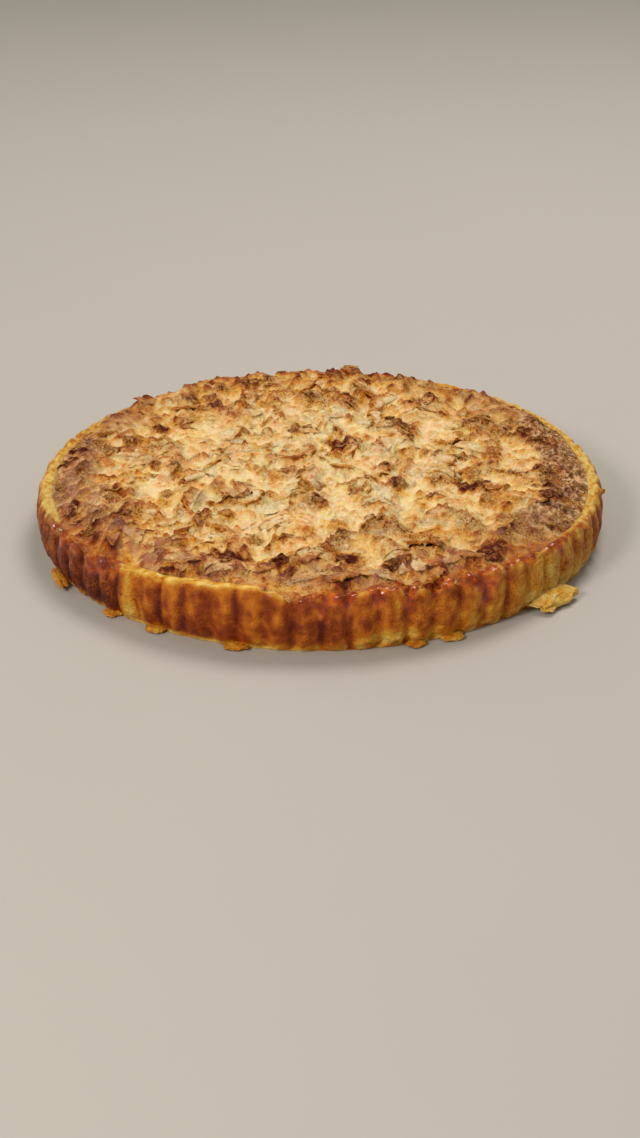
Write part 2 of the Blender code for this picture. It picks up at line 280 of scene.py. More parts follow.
def spiral_place(kind, index, start, draw):
    """A place on the spiral, shifted a little by chance, and its distance from the middle."""
    radius = kind["field"] * math.sqrt((index + 0.5) / kind["count"])
    angle = index * GOLDEN_ANGLE + start
    x = radius * math.cos(angle) + draw.uniform(-kind["shift"], kind["shift"])
    y = radius * math.sin(angle) + draw.uniform(-kind["shift"], kind["shift"])
    return x, y, radius


def lay_slices(kind, spiral_start=0):
    """Slices of one kind on a spiral, each a small dictionary of its place and sizes."""
    draw = random.Random(kind["seed"])
    slices = []
    for index in range(kind["count"]):
        x, y, _ = spiral_place(kind, index, spiral_start, draw)
        slices.append({
            "x": x,
            "y": y,
            "length": draw.uniform(*kind["length"]),
            "width": draw.uniform(*kind["width"]),
            "thickness": draw.uniform(*kind["thickness"]),
            "turn": draw.uniform(0, TAU),
            "tilt": math.radians(draw.uniform(*kind["tilt"])),
            "curl": draw.uniform(*kind["curl"]),
            "sink": draw.uniform(*kind["sink"]),
        })
    return slices


slices = lay_slices(LARGE_SLICES)
slivers = lay_slices(SLIVERS, spiral_start=1.1)
crumbles = lay_slices(CRUMBLES, spiral_start=2.3)
print(len(slices), "apple slices,", len(slivers), "slivers and", len(crumbles), "crumbles")

# %% [markdown]
# Every slice is a half-moon: a rounded skin edge and a nearly straight back. It is tilted, so that
# the skin edge stands out of the custard, and turned any way round. `slice_axes` gives the slice's
# own directions in the tart, and `slice_outline` how far the slice reaches across at each place
# along it. Both the custard that drapes over the slice and the slice itself are made from them.

# %% One slice
SLICE_EDGE = INNER_RADIUS - 1.4
SPILL_REACH = 5.0
LAYER_HEIGHT = 0.22

# Millimetres that the filling stands heaped above its dome near the wall, by degrees from +X
HEAPED_ROUND = ((-180, 0.3), (-120, 0.2), (-90, 0.3), (-45, 0.2), (0, 0.5), (35, 1.6), (48, 2.0),
                (52, 0.9), (58, 0.9), (63, 2.4), (88, 2.6), (91.5, 4.0), (96, 4.0), (99, 2.7),
                (116, 2.6), (118.5, 6.0), (123.5, 6.0), (126, 2.8), (150, 1.8), (170, 0.6), (180, 0.3))


def slice_axes(apple):
    """Unit vectors along the slice, across it towards its skin edge, and up from its face."""
    turn, tilt = apple["turn"], apple["tilt"]
    along = np.array((math.cos(turn), math.sin(turn), 0))
    across = np.array((-math.sin(turn) * math.cos(tilt), math.cos(turn) * math.cos(tilt),
                       math.sin(tilt)))
    return along, across, np.cross(along, across)


def slice_outline(apple, u):
    """The back edge and the skin edge of the slice at a distance u along it from its middle."""
    bow = 1 - np.minimum(1, np.abs(2 * u / apple["length"])) ** 2.4
    ragged = 1 + 0.30 * hills(u + 41 * apple["turn"], 0, 0.35 * apple["length"], 95)
    ragged += 0.22 * hills(u + 17 * apple["turn"], 0, 1.5, 97)
    return 0.12 * apple["width"] * bow, apple["width"] * np.sqrt(bow) * ragged


def slice_layers(apple, inside_skin):
    """Low ridges along the skin edge, the edges of thinner slices pressed together."""
    return LAYER_HEIGHT * np.cos(TAU * inside_skin / (0.26 * apple["width"] + 0.4))


def heaped_filling(radius, angle):
    """How far the filling stands above its dome, which it does only near the wall."""
    return ease(88, 104, radius) * eased_table(HEAPED_ROUND, angle)


def set_down(apple):
    """Find the slice's height, and keep its outer end inside the rim unless it spills over."""
    angle = math.atan2(apple["y"], apple["x"])
    along, across, _ = slice_axes(apple)
    u = apple["length"] / 2 * np.array((-1, -0.7, 0, 0.7, 1))
    skin = slice_outline(apple, u)[1]
    reach_x = apple["x"] + u * along[0] + skin * across[0]
    reach_y = apple["y"] + u * along[1] + skin * across[1]
    apple["spills"] = SPILL_FROM < math.degrees(angle) < SPILL_TO
    past = np.hypot(reach_x, reach_y).max() - SLICE_EDGE - (SPILL_REACH if apple["spills"] else 0)
    apple["z"] = float(bare_custard(apple["x"], apple["y"])) - apple["sink"]
    apple["z"] += heaped_filling(math.hypot(apple["x"], apple["y"]), angle)
    if past > 0:
        apple["x"] -= past * math.cos(angle)
        apple["y"] -= past * math.sin(angle)
    top = apple["z"] + apple["thickness"] + apple["width"] * across[2] + 1.0
    apple["z"] -= max(0, top - HIGHEST_TIP)


for apple in slices + crumbles:
    set_down(apple)
print("slices that spill over the rim:", sum(apple["spills"] for apple in slices))

# %% [markdown]
# What catches the eye are the crests: peaks of crumpled apple that stood highest and burnt. They
# could be modelled as pieces, but they are the same custard pulled up, so they are raised on the
# sheet. The darkest are placed one by one, about where they are on the real tart. Paler small ones
# are laid on a spiral between them, and more stand in a ring along the wall. The small ones keep clear
# of nine places, where thin slices lie fanned out like the petals of a rose.

# %% Crests
BURNT_CRESTS = (
    # x, y, size, how dark it burnt
    (9, 14, 9, 1.0), (64, -31, 10, 1.0), (-41, -37, 8, 0.8), (-32, -37, 7, 0.8), (-51, -62, 8, 0.7),
    (-83, -51, 9, 0.8), (-97, -61, 8, 0.8), (-103, -41, 10, 0.9), (-37, -95, 11, 1.0), (-17, -96, 11, 1.0),
    (10, -95, 8, 1.0), (27, -99, 9, 0.95), (70, -89, 12, 1.0), (97, -40, 11, 0.9), (-2, -43, 6, 0.8),
    (-14, -76, 7, 0.8), (36, 40, 11, 0.8), (15, 77, 10, 0.85), (-49, 66, 9, 0.85), (-9, 41, 7, 0.7),
    (-114, 8, 7, 0.95), (-111, 20, 7, 0.9), (-25, 101, 7, 0.7), (-33, 95, 8, 0.8), (-61, 77, 8, 0.8),
    (91, 30, 10, 0.9), (99, 21, 10, 0.9), (53, 76, 9, 0.8), (70, 45, 8, 0.8), (-85, 25, 9, 0.7),
    (-73, 43, 7, 0.8), (-12, 33, 7, 0.7), (-5, 42, 6, 0.6), (-4, 18, 5, 0.5), (-13, 7, 6, 0.6),
    (-15, -12, 7, 0.65), (1, -26, 6, 0.5), (15, -35, 7, 0.6), (28, -9, 7, 0.6), (23, -25, 7, 0.6),
    (33, -26, 7, 0.8), (7, -80, 8, 0.6), (26, -64, 8, 0.7), (-26, -79, 6, 0.6), (-86, 18, 7, 0.7),
    (-75, 17, 7, 0.6), (-73, -2, 6, 0.8), (-64, -9, 7, 0.5), (-64, -34, 7, 0.6), (-90, -34, 7, 0.6),
    (-43, 14, 7, 0.7), (-37, 42, 6, 0.6), (41, 28, 6, 0.7), (75, 53, 7, 0.7), (72, 33, 6, 0.7),
    (62, 5, 7, 0.6), (84, 33, 7, 0.8), (101, 50, 7, 0.8), (93, -10, 7, 0.8), (98, -20, 7, 0.8),
    (16, 67, 8, 0.8), (36, 96, 7, 0.7), (-4, 75, 7, 0.6), (-23, 92, 7, 0.7), (-99, 26, 7, 0.7),
    (-92, 14, 6, 0.8), (-102, -51, 7, 0.7), (-95, -55, 7, 0.7), (-84, -56, 6, 0.6), (-74, -10, 6, 0.6),
    (-89, -37, 6, 0.7), (52, 5, 6, 0.5), (34, -27, 7, 0.7), (47, -38, 7, 0.6), (45, 10, 6, 0.5),
    (84, -15, 7, 0.6), (96, -27, 8, 0.8), (100, -11, 7, 0.8), (102, -33, 7, 0.8),
)
PETALS = (
    # x, y, reach, step, the way they face in degrees, spread
    (-12, -70, 16, 3.2, 125, 100), (-40, -14, 10, 2.2, 80, 75), (47, 46, 11, 2.5, 110, 85),
    (17, -8, 9, 2.2, 60, 75), (-60, 33, 9, 2.3, 100, 75), (58, -50, 10, 2.4, 130, 80),
    (-12, 60, 9, 2.3, 90, 80), (-68, -28, 9, 2.2, 60, 80), (10, -54, 8, 2.0, 150, 80),
)
PALE_CRESTS = {"count": 400, "seed": 61, "field": 116.5, "shift": 5, "size": (4.0, 10.0),
               "scorched_share": 0.36, "scorched": (0.25, 0.65), "pale": (0, 0.14)}
WALL_CRESTS = {"count": 90, "radius": (103, 117), "size": (4.0, 8.5), "darkness": (0.1, 0.7)}

# How high crests stand near the wall, against those in the middle, by degrees from +X
CREST_HEIGHTS = ((-180, 0.6), (-140, 0.6), (-120, 0.4), (-60, 0.4), (-40, 0.5), (5, 0.6), (22, 1.1),
                 (48, 1.3), (53, 0.6), (60, 0.5), (75, 0.6), (120, 0.65), (140, 0.5), (180, 0.6))


def lay_crests():
    """Every crest as x, y, size and how dark it burnt."""
    draw = random.Random(PALE_CRESTS["seed"])
    crests = list(BURNT_CRESTS)
    for index in range(PALE_CRESTS["count"]):
        x, y, radius = spiral_place(PALE_CRESTS, index, start=0.4, draw=draw)
        scorched = draw.random() < PALE_CRESTS["scorched_share"]
        darkness = draw.uniform(*PALE_CRESTS["scorched" if scorched else "pale"])
        darkness += 0.34 * float(ease(50, 108, radius)) * draw.random()
        size = draw.uniform(*PALE_CRESTS["size"])
        if all(math.hypot(x - fan[0], y - fan[1]) > fan[2] for fan in PETALS):
            crests.append((x, y, size, darkness))
    for index in range(WALL_CRESTS["count"]):
        angle = TAU * (index + draw.uniform(-0.4, 0.4)) / WALL_CRESTS["count"]
        radius = draw.uniform(*WALL_CRESTS["radius"])
        crests.append((radius * math.cos(angle), radius * math.sin(angle),
                       draw.uniform(*WALL_CRESTS["size"]), draw.uniform(*WALL_CRESTS["darkness"])))
    return crests


def raise_crests(ground, crests):
    """Pull the custard up into ragged peaks; also how near each spot is to a peak, and how burnt."""
    draw = random.Random(63)
    raised, nearness, darkening = ground.copy(), np.zeros_like(ground), np.zeros_like(ground)
    ragged = 0.42 * crags(sheet_x, sheet_y, 4.5, 83)
    for x, y, size, darkness in crests:
        window = sheet_window(x, y, size)
        dx, dy = sheet_x[window] - x, sheet_y[window] - y
        turn, squeeze = draw.uniform(0, TAU), draw.uniform(1.2, 3.0 - 0.9 * darkness)
        along = math.cos(turn) * dx + math.sin(turn) * dy
        across = math.cos(turn) * dy - math.sin(turn) * dx
        away = np.hypot(along, squeeze * (across + 0.03 * along ** 2))
        lean = 1 + 0.65 * squeeze * across / (away + 0.3)
        peak = np.clip(1 - away * lean / (0.66 * size) - ragged[window], 0, 1.2)
        height = min(size, 9) * draw.uniform(0.20, 0.34) * (0.50 + 0.90 * darkness)
        height *= mix(1, eased_table(CREST_HEIGHTS, math.atan2(y, x)), ease(82, 98, math.hypot(x, y)))
        tent = ground[window] + height * np.minimum(peak, 1) * (2 - np.minimum(peak, 1)) - 0.3
        raised[window] = np.maximum(raised[window], np.where(peak > 0, tent, NOTHING_THERE))
        nearness[window] = np.maximum(nearness[window], np.minimum(peak, 1))
        darkening[window] = np.maximum(darkening[window], darkness * np.minimum(peak, 1) ** 0.7)
    return raised, nearness, darkening


# %% [markdown]
# Now the custard is poured over the slices. For each slice, its top face is worked out on the part
# of the sheet under it, with a skirt falling from its edges. Custard lies over that face, but climbs
# only so far up a slice that stands steep: above that line the slice stays bare. The bare tops are
# kept on a sheet of their own, `skyline`, because they brown first.

# %% Drape the custard
SKIRT_SLOPE = 2.2
FILLET = 0.5


def slice_top(apple, x, y):
    """Height of the slice's top face over points, and how far inside its outline they lie."""
    along, across, up = slice_axes(apple)
    dx, dy = x - apple["x"], y - apple["y"]
    fall = -(up[0] * dx + up[1] * dy) / up[2]
    u = along[0] * dx + along[1] * dy
    v = across[0] * dx + across[1] * dy + across[2] * fall
    back, skin = slice_outline(apple, u)
    inside = np.minimum(np.minimum(v - back, skin - v), apple["length"] / 2 - np.abs(u))
    face = apple["thickness"] + apple["curl"] * u ** 2 + slice_layers(apple, skin - v)
    return apple["z"] + fall + face / up[2], inside


def drape_custard(ground, slices, coats, climbs, seed):
    """Lay custard over slices; coats and climbs give how thick it is and how far up it creeps."""
    draw = random.Random(seed)
    custard, skyline = ground.copy(), ground.copy()
    for apple in slices:
        window = sheet_window(apple["x"], apple["y"], apple["length"] / 2 + apple["width"] + 3)
        top, inside = slice_top(apple, sheet_x[window], sheet_y[window])
        coat, climb = draw.uniform(*coats), draw.uniform(*climbs)
        propped = np.minimum(top - 1.2 * apple["thickness"], HIGHEST_TIP - 1) - 0.2
        draped = np.maximum(np.minimum(top + coat, ground[window] + climb), propped)
        draped = draped - SKIRT_SLOPE * np.maximum(0, -inside)
        custard[window] = lay_over(custard[window], draped, FILLET)
        bare = np.where(inside > 0.3, top, NOTHING_THERE)
        skyline[window] = np.maximum(skyline[window], bare)
    return custard, skyline


# %% [markdown]
# The slivers are too many to place by hand, so a rule places them: most lean up the nearest crest, as
# scraps of apple do when the custard under them swells, and none may hide a burnt crest. The two
# dozen slices that catch the eye are placed one by one instead, and hug a smoothed surface, so that
# each lies in one flat piece. Their tone says how dark they are: below 0 pale, above 0 browned.

# %% Slivers, and slices placed one by one
CHOSEN_SLICES = (
    # x, y, length, width, thickness, turn, tilt, tone
    (37, -104, 12.5, 7.5, 1.0, 8, 10, -0.55), (-3, -111, 19, 7.0, 1.1, 4, 14, 0.10),
    (-37, -106, 17, 7.5, 1.0, -6, 12, -0.15), (9, -84, 13, 8.0, 0.8, 30, 16, 0.15),
    (-4, -99, 14, 9.0, 1.0, 6, 12, -0.15), (20, -109, 22, 6.0, 1.0, -10, 10, 0.25),
    (30, -92, 12, 7.0, 0.9, 24, 14, 0.2), (54, -97, 14, 6.5, 0.9, 28, 12, 0.3),
    (-57, -94, 15, 7.0, 0.9, -28, 12, 0.25), (-78, -74, 12, 7.0, 0.9, -40, 12, 0.1),
    (-16, 12, 13, 7.0, 0.8, 150, 16, -0.6), (40, 12, 13, 7.5, 0.8, 12, 18, -0.3),
    (-52, -10, 14, 7.5, 0.8, -14, 14, -0.4), (8, 48, 14, 7.5, 0.9, 8, 16, 0.0),
    (-30, 60, 14, 8.0, 0.9, 20, 16, 0.1), (66, 14, 13, 7.0, 0.8, -26, 16, -0.2),
    (-78, 2, 13, 7.0, 0.9, 16, 14, 0.2), (52, 60, 14, 8.0, 0.9, -8, 18, 0.3),
    (-20, -51, 14, 8.0, 0.7, 20, 10, -0.5), (33, 36, 15, 8.0, 1.0, -12, 18, 0.45),
    (-6, 33, 13, 7.0, 0.9, 15, 16, 0.10), (52, -20, 14, 7.0, 0.8, -20, 12, -0.2),
    (-60, -64, 14, 7.0, 0.8, -15, 14, 0.0), (24, -47, 13, 7.5, 0.7, 12, 10, -0.6),
)


def in_foam(apple, low, high):
    """How deep a slice lies in the foam: not at all inside the low radius, fully past the high one."""
    away, around = math.hypot(apple["x"], apple["y"]), math.atan2(apple["y"], apple["x"])
    return float(ease(low, high, away) * eased_table(FOAM_ROUND, around))


def clear_of(slivers, places, share):
    """The slivers that lie outside a share of the size of every burnt crest or fan of petals."""
    return [apple for apple in slivers
            if all(math.hypot(apple["x"] - x, apple["y"] - y) > share * size for x, y, size, *_ in places)]


def lean_on_crests(slivers, surface, loose=(-8, 30)):
    """Set slivers down on a surface, most of them leaning up the nearest crest."""
    draw = random.Random(67)
    fall_x, fall_y = np.gradient(soften(surface, 1.2), SHEET_STEP)
    for apple in slivers:
        x, y = apple["x"], apple["y"]
        slope_x, slope_y = float(read_sheet(fall_x, x, y)), float(read_sheet(fall_y, x, y))
        if draw.random() < 0.75:
            apple["turn"] = math.atan2(slope_y, slope_x) - TAU / 4 + draw.gauss(0, 0.5)
            steepness = math.atan(math.hypot(slope_x, slope_y))
            apple["tilt"] = 0.8 * steepness + math.radians(draw.uniform(*loose))
        apple["z"] = float(read_sheet(surface, x, y)) - apple["sink"]
        apple["spills"] = False


def choose_slices(surface):
    """The slices that catch the eye, placed one by one."""
    names = ("x", "y", "length", "width", "thickness", "turn", "tilt", "tone")
    chosen = [dict(zip(names, row)) for row in CHOSEN_SLICES]
    for apple in chosen:
        apple["turn"], apple["tilt"] = math.radians(apple["turn"]), math.radians(apple["tilt"])
        apple.update(curl=-0.006, spills=False, hugs=0.85, above=0.6, bed="smooth")
        apple["z"] = float(read_sheet(surface, apple["x"], apple["y"])) - 0.5
    return chosen


# %% [markdown]
# Thin slices that slid off one another lie like the petals of a rose. Cut as pieces, their edges would
# drown in the custard, so the fan is drawn on the sheet instead: low steps round a middle, each one
# higher than the last, on ground that is smoothed first.

# %% Fans of petals
def fan_petals(surface):
    """Slices fanned out like petals: low steps round a middle, each one higher than the last."""
    fanned, petals, area = surface.copy(), np.zeros_like(surface), np.zeros_like(surface)
    uneven, smoothed = 0.6 * crags(sheet_x, sheet_y, 9, 51), soften(surface, 3.5)
    for x, y, reach, step, facing, spread in PETALS:
        dx, dy = sheet_x - x, sheet_y - y
        away = np.hypot(dx, dy) + uneven
        turned = np.abs((np.degrees(np.arctan2(dy, dx)) - facing + 180) % 360 - 180)
        share = 1 - ease(spread - 30, spread, turned)
        share = share * ease(2, 4, away) * (1 - ease(reach - 1, reach, away))
        rise = 1 - (away / step) % 1
        flat = mix(fanned, smoothed, 0.9 * share)
        fanned = flat + share * (2.3 * rise - 0.8 + 0.14 * away)
        petals = np.maximum(petals, share * rise)
        area = np.maximum(area, share)
    return fanned, petals, area


print("fans of petals:", len(PETALS))

# %% [markdown]
# The ground under the slices is the bare custard with soft rolls and folds, heaped up near the wall.
# Some of the solid's own slices are pressed in and laid flatter: those under a fan or in the foam,
# and six that would stand where the real tart has a hollow.

# %% The ground
STRAY_SLICES = (21, 42, 55, 62, 71, 92)
rolling = 1.4 * crags(sheet_x, sheet_y, 13, 21) + 1.0 * folds(sheet_x, sheet_y, 11, 31) - 1.6
inland = 1 - ease(SHOULDER_RADIUS + 6, INNER_RADIUS + 2, sheet_radius)
heaped = heaped_filling(sheet_radius, sheet_angle)
heaped *= 1 - ease(INNER_RADIUS - 4, INNER_RADIUS + 0.5, sheet_radius)
ground = dome + rolling * inland + heaped


def press_in(apple, depth, tilt_kept):
    """Sink a slice and lay it flatter."""
    apple["z"] -= depth
    apple["tilt"] *= tilt_kept


for index in STRAY_SLICES:
    press_in(slices[index], depth=1.8, tilt_kept=0.5)
for apple in slices:
    if not clear_of([apple], PETALS, share=0.9):
        press_in(apple, depth=2.5, tilt_kept=0.3)
    elif math.hypot(apple["x"], apple["y"]) > 92:
        buried = in_foam(apple, 95, 101)
        press_in(apple, depth=1.6 * buried, tilt_kept=0.7 - 0.4 * buried)
print("ground from", ground[sheet_radius < 110].min().round(1), "to",
      ground[sheet_radius < 110].max().round(1), "mm high")

# %% [markdown]
# Then the top is built up in the order in which a cook fills the case: large slices, crumbled bits,
# crests and fans, and last the slivers. Fine wrinkles finish it, except on the petals.

# %% Build up the top
custard, low_tops = drape_custard(ground, slices, coats=(-0.4, 0.7), climbs=(1.4, 3.2), seed=5)
custard, _ = drape_custard(custard, crumbles, coats=(-0.1, 0.3), climbs=(0.6, 2.4), seed=6)
custard, nearness, darkening = raise_crests(soften(custard, 0.5), lay_crests())
custard, petals, petal_area = fan_petals(custard)
slivers = clear_of(clear_of(slivers, BURNT_CRESTS, share=0.75), PETALS, share=0.8)
slivers = [apple for apple in slivers if in_foam(apple, 93, 99) < 0.6]
lean_on_crests(slivers, custard)
slivers += choose_slices(soften(custard, 1.5))
print("slivers kept, with the chosen slices:", len(slivers))
custard, skyline = drape_custard(custard, slivers, coats=(-0.7, 0.1), climbs=(0.2, 1.0), seed=7)
wrinkles = 0.45 * folds(sheet_x, sheet_y, 4.2, 41) + 0.40 * folds(sheet_x, sheet_y, 2.4, 43)
wrinkles += 0.40 * crags(sheet_x, sheet_y, 3.0, 45, 2)
wrinkles += 0.9 * nearness * crags(sheet_x, sheet_y, 2.0, 47, 2)
wrinkles = mix(wrinkles, 0.3, 0.9 * petal_area)
custard = soften(custard, 0.2) + wrinkles - 0.3
skyline = np.maximum(np.maximum(skyline, low_tops), custard)
print("custard stands", custard[sheet_radius < 110].min().round(1), "to",
      custard[sheet_radius < 110].max().round(1), "mm high")

# %% [markdown]
# Near the wall at the right, and at the left, the custard puffed up into a fine foam and dried. Each
# bubble could be a small ball cut out of the surface, but thousands of them would be slow, so folds
# and pits of noise stand for them. The ground under the foam is smoothed first, because foam buries
# what lies under it, and burnt crests keep clear of it.

# %% Foam near the wall
foam = ease(94, 101, sheet_radius + 7 * crags(sheet_x, sheet_y, 16, 71))
foam = foam * eased_table(FOAM_ROUND, sheet_angle)
foam = foam * (1 - 0.8 * ease(0.25, 0.6, darkening))
pitted = ease(0.15, 0.45, hills(sheet_x, sheet_y, 3.6, 77))
pitted = pitted * ease(-0.2, 0.3, hills(sheet_x, sheet_y, 11, 79))
bubbled = 1.5 * folds(sheet_x, sheet_y, 2.7, 73) + 0.9 * folds(sheet_x, sheet_y, 5.0, 75) - 1.1
bubbled = bubbled - 2.1 * pitted
custard = mix(custard, soften(custard, 2.5), 0.6 * foam)
custard = custard + foam * bubbled * (1 - ease(INNER_RADIUS - 3, INNER_RADIUS, sheet_radius))
skyline = np.maximum(skyline, custard)
print("foam covers", (foam > 0.5).mean().round(3), "of the sheet")

# %% [markdown]
# The oven browns what stands up and dries out, and leaves the wet hollows pale. How far each spot
# stands above its neighbourhood is the skyline less a blurred skyline. The edge of the tart browns
# more than its middle, and soft noise keeps both uneven. A second mark says where the skin dried out
# to a duller colour on the flat tops, while steep sides stay moist gold. That split is partly painted
# light: pinkish lit tops against golden flanks in shade. A third mark is painted shade in the narrow
# hollows, a deeper gold that stands for the shade and warm bounced light down there.

# %% Brown it
BROWN_MIDDLE = 0.12
BROWN_EDGE = 0.27

# How much darker the filling is baked close to the wall, by degrees from +X
EDGE_BAKE = ((-180, 0.10), (-150, 0.14), (-140, 0.22), (-125, 0.22), (-112, 0.14), (-100, 0.12),
             (-85, 0.14), (-60, 0.15), (-40, 0.13), (-20, 0.08), (30, 0.06), (90, 0.05), (180, 0.10))


def brown_sheet(skyline):
    """How browned each spot is, from 0 for cream to 1 for black."""
    stands_up = np.clip(skyline - soften(skyline, 3.2), -1.6, 2.2)
    sharp = np.clip(skyline - soften(skyline, 1.1), -0.7, 1.1)
    edge = ease(40, 112, sheet_radius)
    brown = BROWN_MIDDLE + BROWN_EDGE * edge
    brown += eased_table(EDGE_BAKE, sheet_angle) * ease(92, 114, sheet_radius)
    brown += 0.14 * stands_up + 0.16 * sharp
    brown += 0.20 * crags(sheet_x, sheet_y, 16, 61) + 0.12 * crags(sheet_x, sheet_y, 4, 65)
    baked = 0.13 + 0.82 * darkening
    return np.maximum(brown, mix(brown, baked, ease(0.0, 0.55, nearness)))


def dried_and_lit_sheet(skyline):
    """Dull pinkish tan on the flat tops and moist gold on steep sides: partly dried skin, partly painted
    light.
    """
    stands_up = np.clip(skyline - soften(skyline, 4.0), -1.2, 1.8)
    fall_x, fall_y = np.gradient(soften(skyline, 0.4), SHEET_STEP)
    steep = ease(0.4, 1.3, np.hypot(fall_x, fall_y))
    dryness = 0.32 + 0.25 * stands_up + 0.50 * crags(sheet_x, sheet_y, 12, 67) - 0.40 * steep
    return np.clip(dryness, 0, 1)


brown = brown_sheet(skyline)
dried_and_lit = dried_and_lit_sheet(skyline)
brown = brown + 0.4 * foam * pitted
# Painted shade: narrow hollows that lie below the blurred skyline round them are marked for a darker,
# warmer gold.
hollow_shade = np.clip(0.6 * (soften(skyline, 1.2) - custard - 0.5), 0, 1)
print("browning from", brown.min().round(2), "to", brown.max().round(2),
      "mean", brown[sheet_radius < 115].mean().round(2))

# %% [markdown]
# Where a crest burnt, its top goes from brown to maroon and nearly black, in a ragged patch, and so do
# the pits of the foam. Grit is the fine crumbled crust round the burnt crests and in a few other
# places. Mauve is the dull pinkish tan of custard that dried against the wall. Each is one more mark
# on the sheet, so the material can mix its colour in by just as much.

# %% Burn the crests
GRITTY = (
    # x, y, size
    (27, -68, 12), (-38, -38, 11), (-49, -37, 7), (36, 36, 9), (-2, -43, 5), (-88, -50, 12),
    (62, -62, 10), (84, -60, 12), (-70, 20, 10), (80, 40, 12), (0, 80, 12),
)

# How mauve the dried custard is near the wall, by degrees from +X
MAUVE_ROUND = ((-180, 0.8), (-162, 0.8), (-150, 0.6), (-138, 1.0), (-122, 1.0), (-108, 0.6), (-90, 1.0),
               (-66, 0.8), (-45, 0.2), (0, 0), (150, 0.1), (180, 0.3))

burn = ease(0.42, 0.84, darkening + 0.16 * crags(sheet_x, sheet_y, 2.6, 81))
burn = np.maximum(burn, 0.8 * foam * pitted)
gritty = 1.4 * darkening + 0.9 * crags(sheet_x, sheet_y, 9, 85)
ragged = 0.5 * crags(sheet_x, sheet_y, 5, 87)
for x, y, size in GRITTY:
    gritty = np.maximum(gritty, 1.3 - np.hypot(sheet_x - x, sheet_y - y) / size + ragged)
grit = ease(0.35, 0.75, gritty) * (1 - 0.6 * burn) * (1 - petal_area)
# On the petals the browning is held low, and each step's raised edge is browned: partly a baked edge,
# partly a painted shade line that makes the step show.
petal_edge_brown_and_shade = np.minimum(brown, 0.20) + 0.38 * ease(0.72, 1.0, petals)
brown = mix(brown + 0.20 * grit, petal_edge_brown_and_shade, petal_area)
mauve = ease(94, 106, sheet_radius + 6 * crags(sheet_x, sheet_y, 9, 89))
mauve = mauve * eased_table(MAUVE_ROUND, sheet_angle)
mauve = mauve * ease(-0.35, 0.25, crags(sheet_x, sheet_y, 8, 91))
print("burnt share of the top:", (burn > 0.4).mean().round(4))

# %% [markdown]
# A mesh is made from arrays in one go, which is hundreds of times faster than adding faces one by
# one. `make_piece` takes points in millimetres, faces as rows of corner numbers, and marks: one
# number per point, such as how browned it is. The materials read the marks with Attribute nodes.

# %% Meshes from arrays
def grid_faces(rows, columns, closed=True):
    """Corner numbers of the quads of a grid of points; closed joins the last column to the first."""
    row, column = np.meshgrid(np.arange(rows - 1), np.arange(columns - (0 if closed else 1)),
                              indexing="ij")
    beside = (column + 1) % columns
    corners = (row * columns + column, row * columns + beside,
               (row + 1) * columns + beside, (row + 1) * columns + column)
    return np.stack(corners, -1).reshape(-1, 4)


def fan_faces(ring, middle, flip=False):
    """Triangles from every edge of a closed ring to a middle point."""
    ends = np.stack((ring, np.roll(ring, -1), np.full(len(ring), middle)), -1)
    return ends[:, ::-1] if flip else ends


def make_piece(name, points, faces, marks):
    """An object in the scene from points in millimetres; faces is a list of arrays of corners."""
    mesh = bpy.data.meshes.new(name)
    mesh.vertices.add(len(points))
    mesh.vertices.foreach_set("co", (np.asarray(points) * MM).astype(np.float32).ravel())
    sizes = np.concatenate([np.full(len(group), group.shape[1]) for group in faces])
    corners = np.concatenate([group.ravel() for group in faces])
    mesh.loops.add(len(corners))
    mesh.loops.foreach_set("vertex_index", corners.astype(np.int32))
    mesh.polygons.add(len(sizes))
    mesh.polygons.foreach_set("loop_start", (np.cumsum(sizes) - sizes).astype(np.int32))
    mesh.update(calc_edges=True)
    mesh.validate()
    mesh.shade_smooth()
    for mark, values in marks.items():
        attribute = mesh.attributes.new(mark, "FLOAT", "POINT")
        attribute.data.foreach_set("value", np.asarray(values, np.float32))
    piece = bpy.data.objects.new(name, mesh)
    bpy.context.scene.collection.objects.link(piece)
    mesh.calc_loop_triangles()
    print(name, len(mesh.loop_triangles), "triangles")
    return piece


# %% [markdown]
# The filling meets the rim in two ways. Where it stayed in the case it stops short of the crest, and a
# lip of bare pastry shows. Where it boiled over, at the front and at the left, it lies on the crest.
# Two short tables say which, and noise makes the edge ragged.

# %% The custard's edge
# Where custard runs out over the rim, 0 to 1, by degrees from +X
SPILL_OVER = ((-180, 0), (-160, 0), (-154, 0.5), (-147, 0.7), (-135, 0.6), (-131, 0), (-108, 0),
              (-97, 0.9), (-90, 1.0), (-84, 0.45), (-76, 0.9), (-68, 1.0), (-60, 0.8), (-52, 1.0),
              (-44, 0.7), (-36, 0.0), (180, 0))

# Millimetres of bare pastry lip that show inside the rim's crest, by degrees from +X
LIP_ROUND = ((-180, 2.4), (-162, 2.6), (-154, 0.4), (-135, 0.3), (-129, 1.8), (-105, 1.6), (-97, 0),
             (-40, 0), (-30, 1.6), (0, 2.0), (20, 1.6), (60, 0), (140, 0), (165, 1.6), (180, 2.2))


def custard_edge(angle):
    """How far out the custard reaches: just into the wall, or over its crest where it spilled."""
    spill = eased_table(SPILL_OVER, angle)
    inside = INNER_RADIUS + 1.6 - eased_table(LIP_ROUND, angle)
    inside = inside + 0.7 * wall_hills(angle, 0, 7, 91)
    over = CREST_RADIUS + 1.4 + 1.7 * wall_hills(angle, 0, 5, 93)
    over = over + 0.9 * wall_hills(angle, 0, 2.3, 94)
    return mix(inside, np.minimum(over, WIDEST_RADIUS - 1.2), spill) + wander(angle)


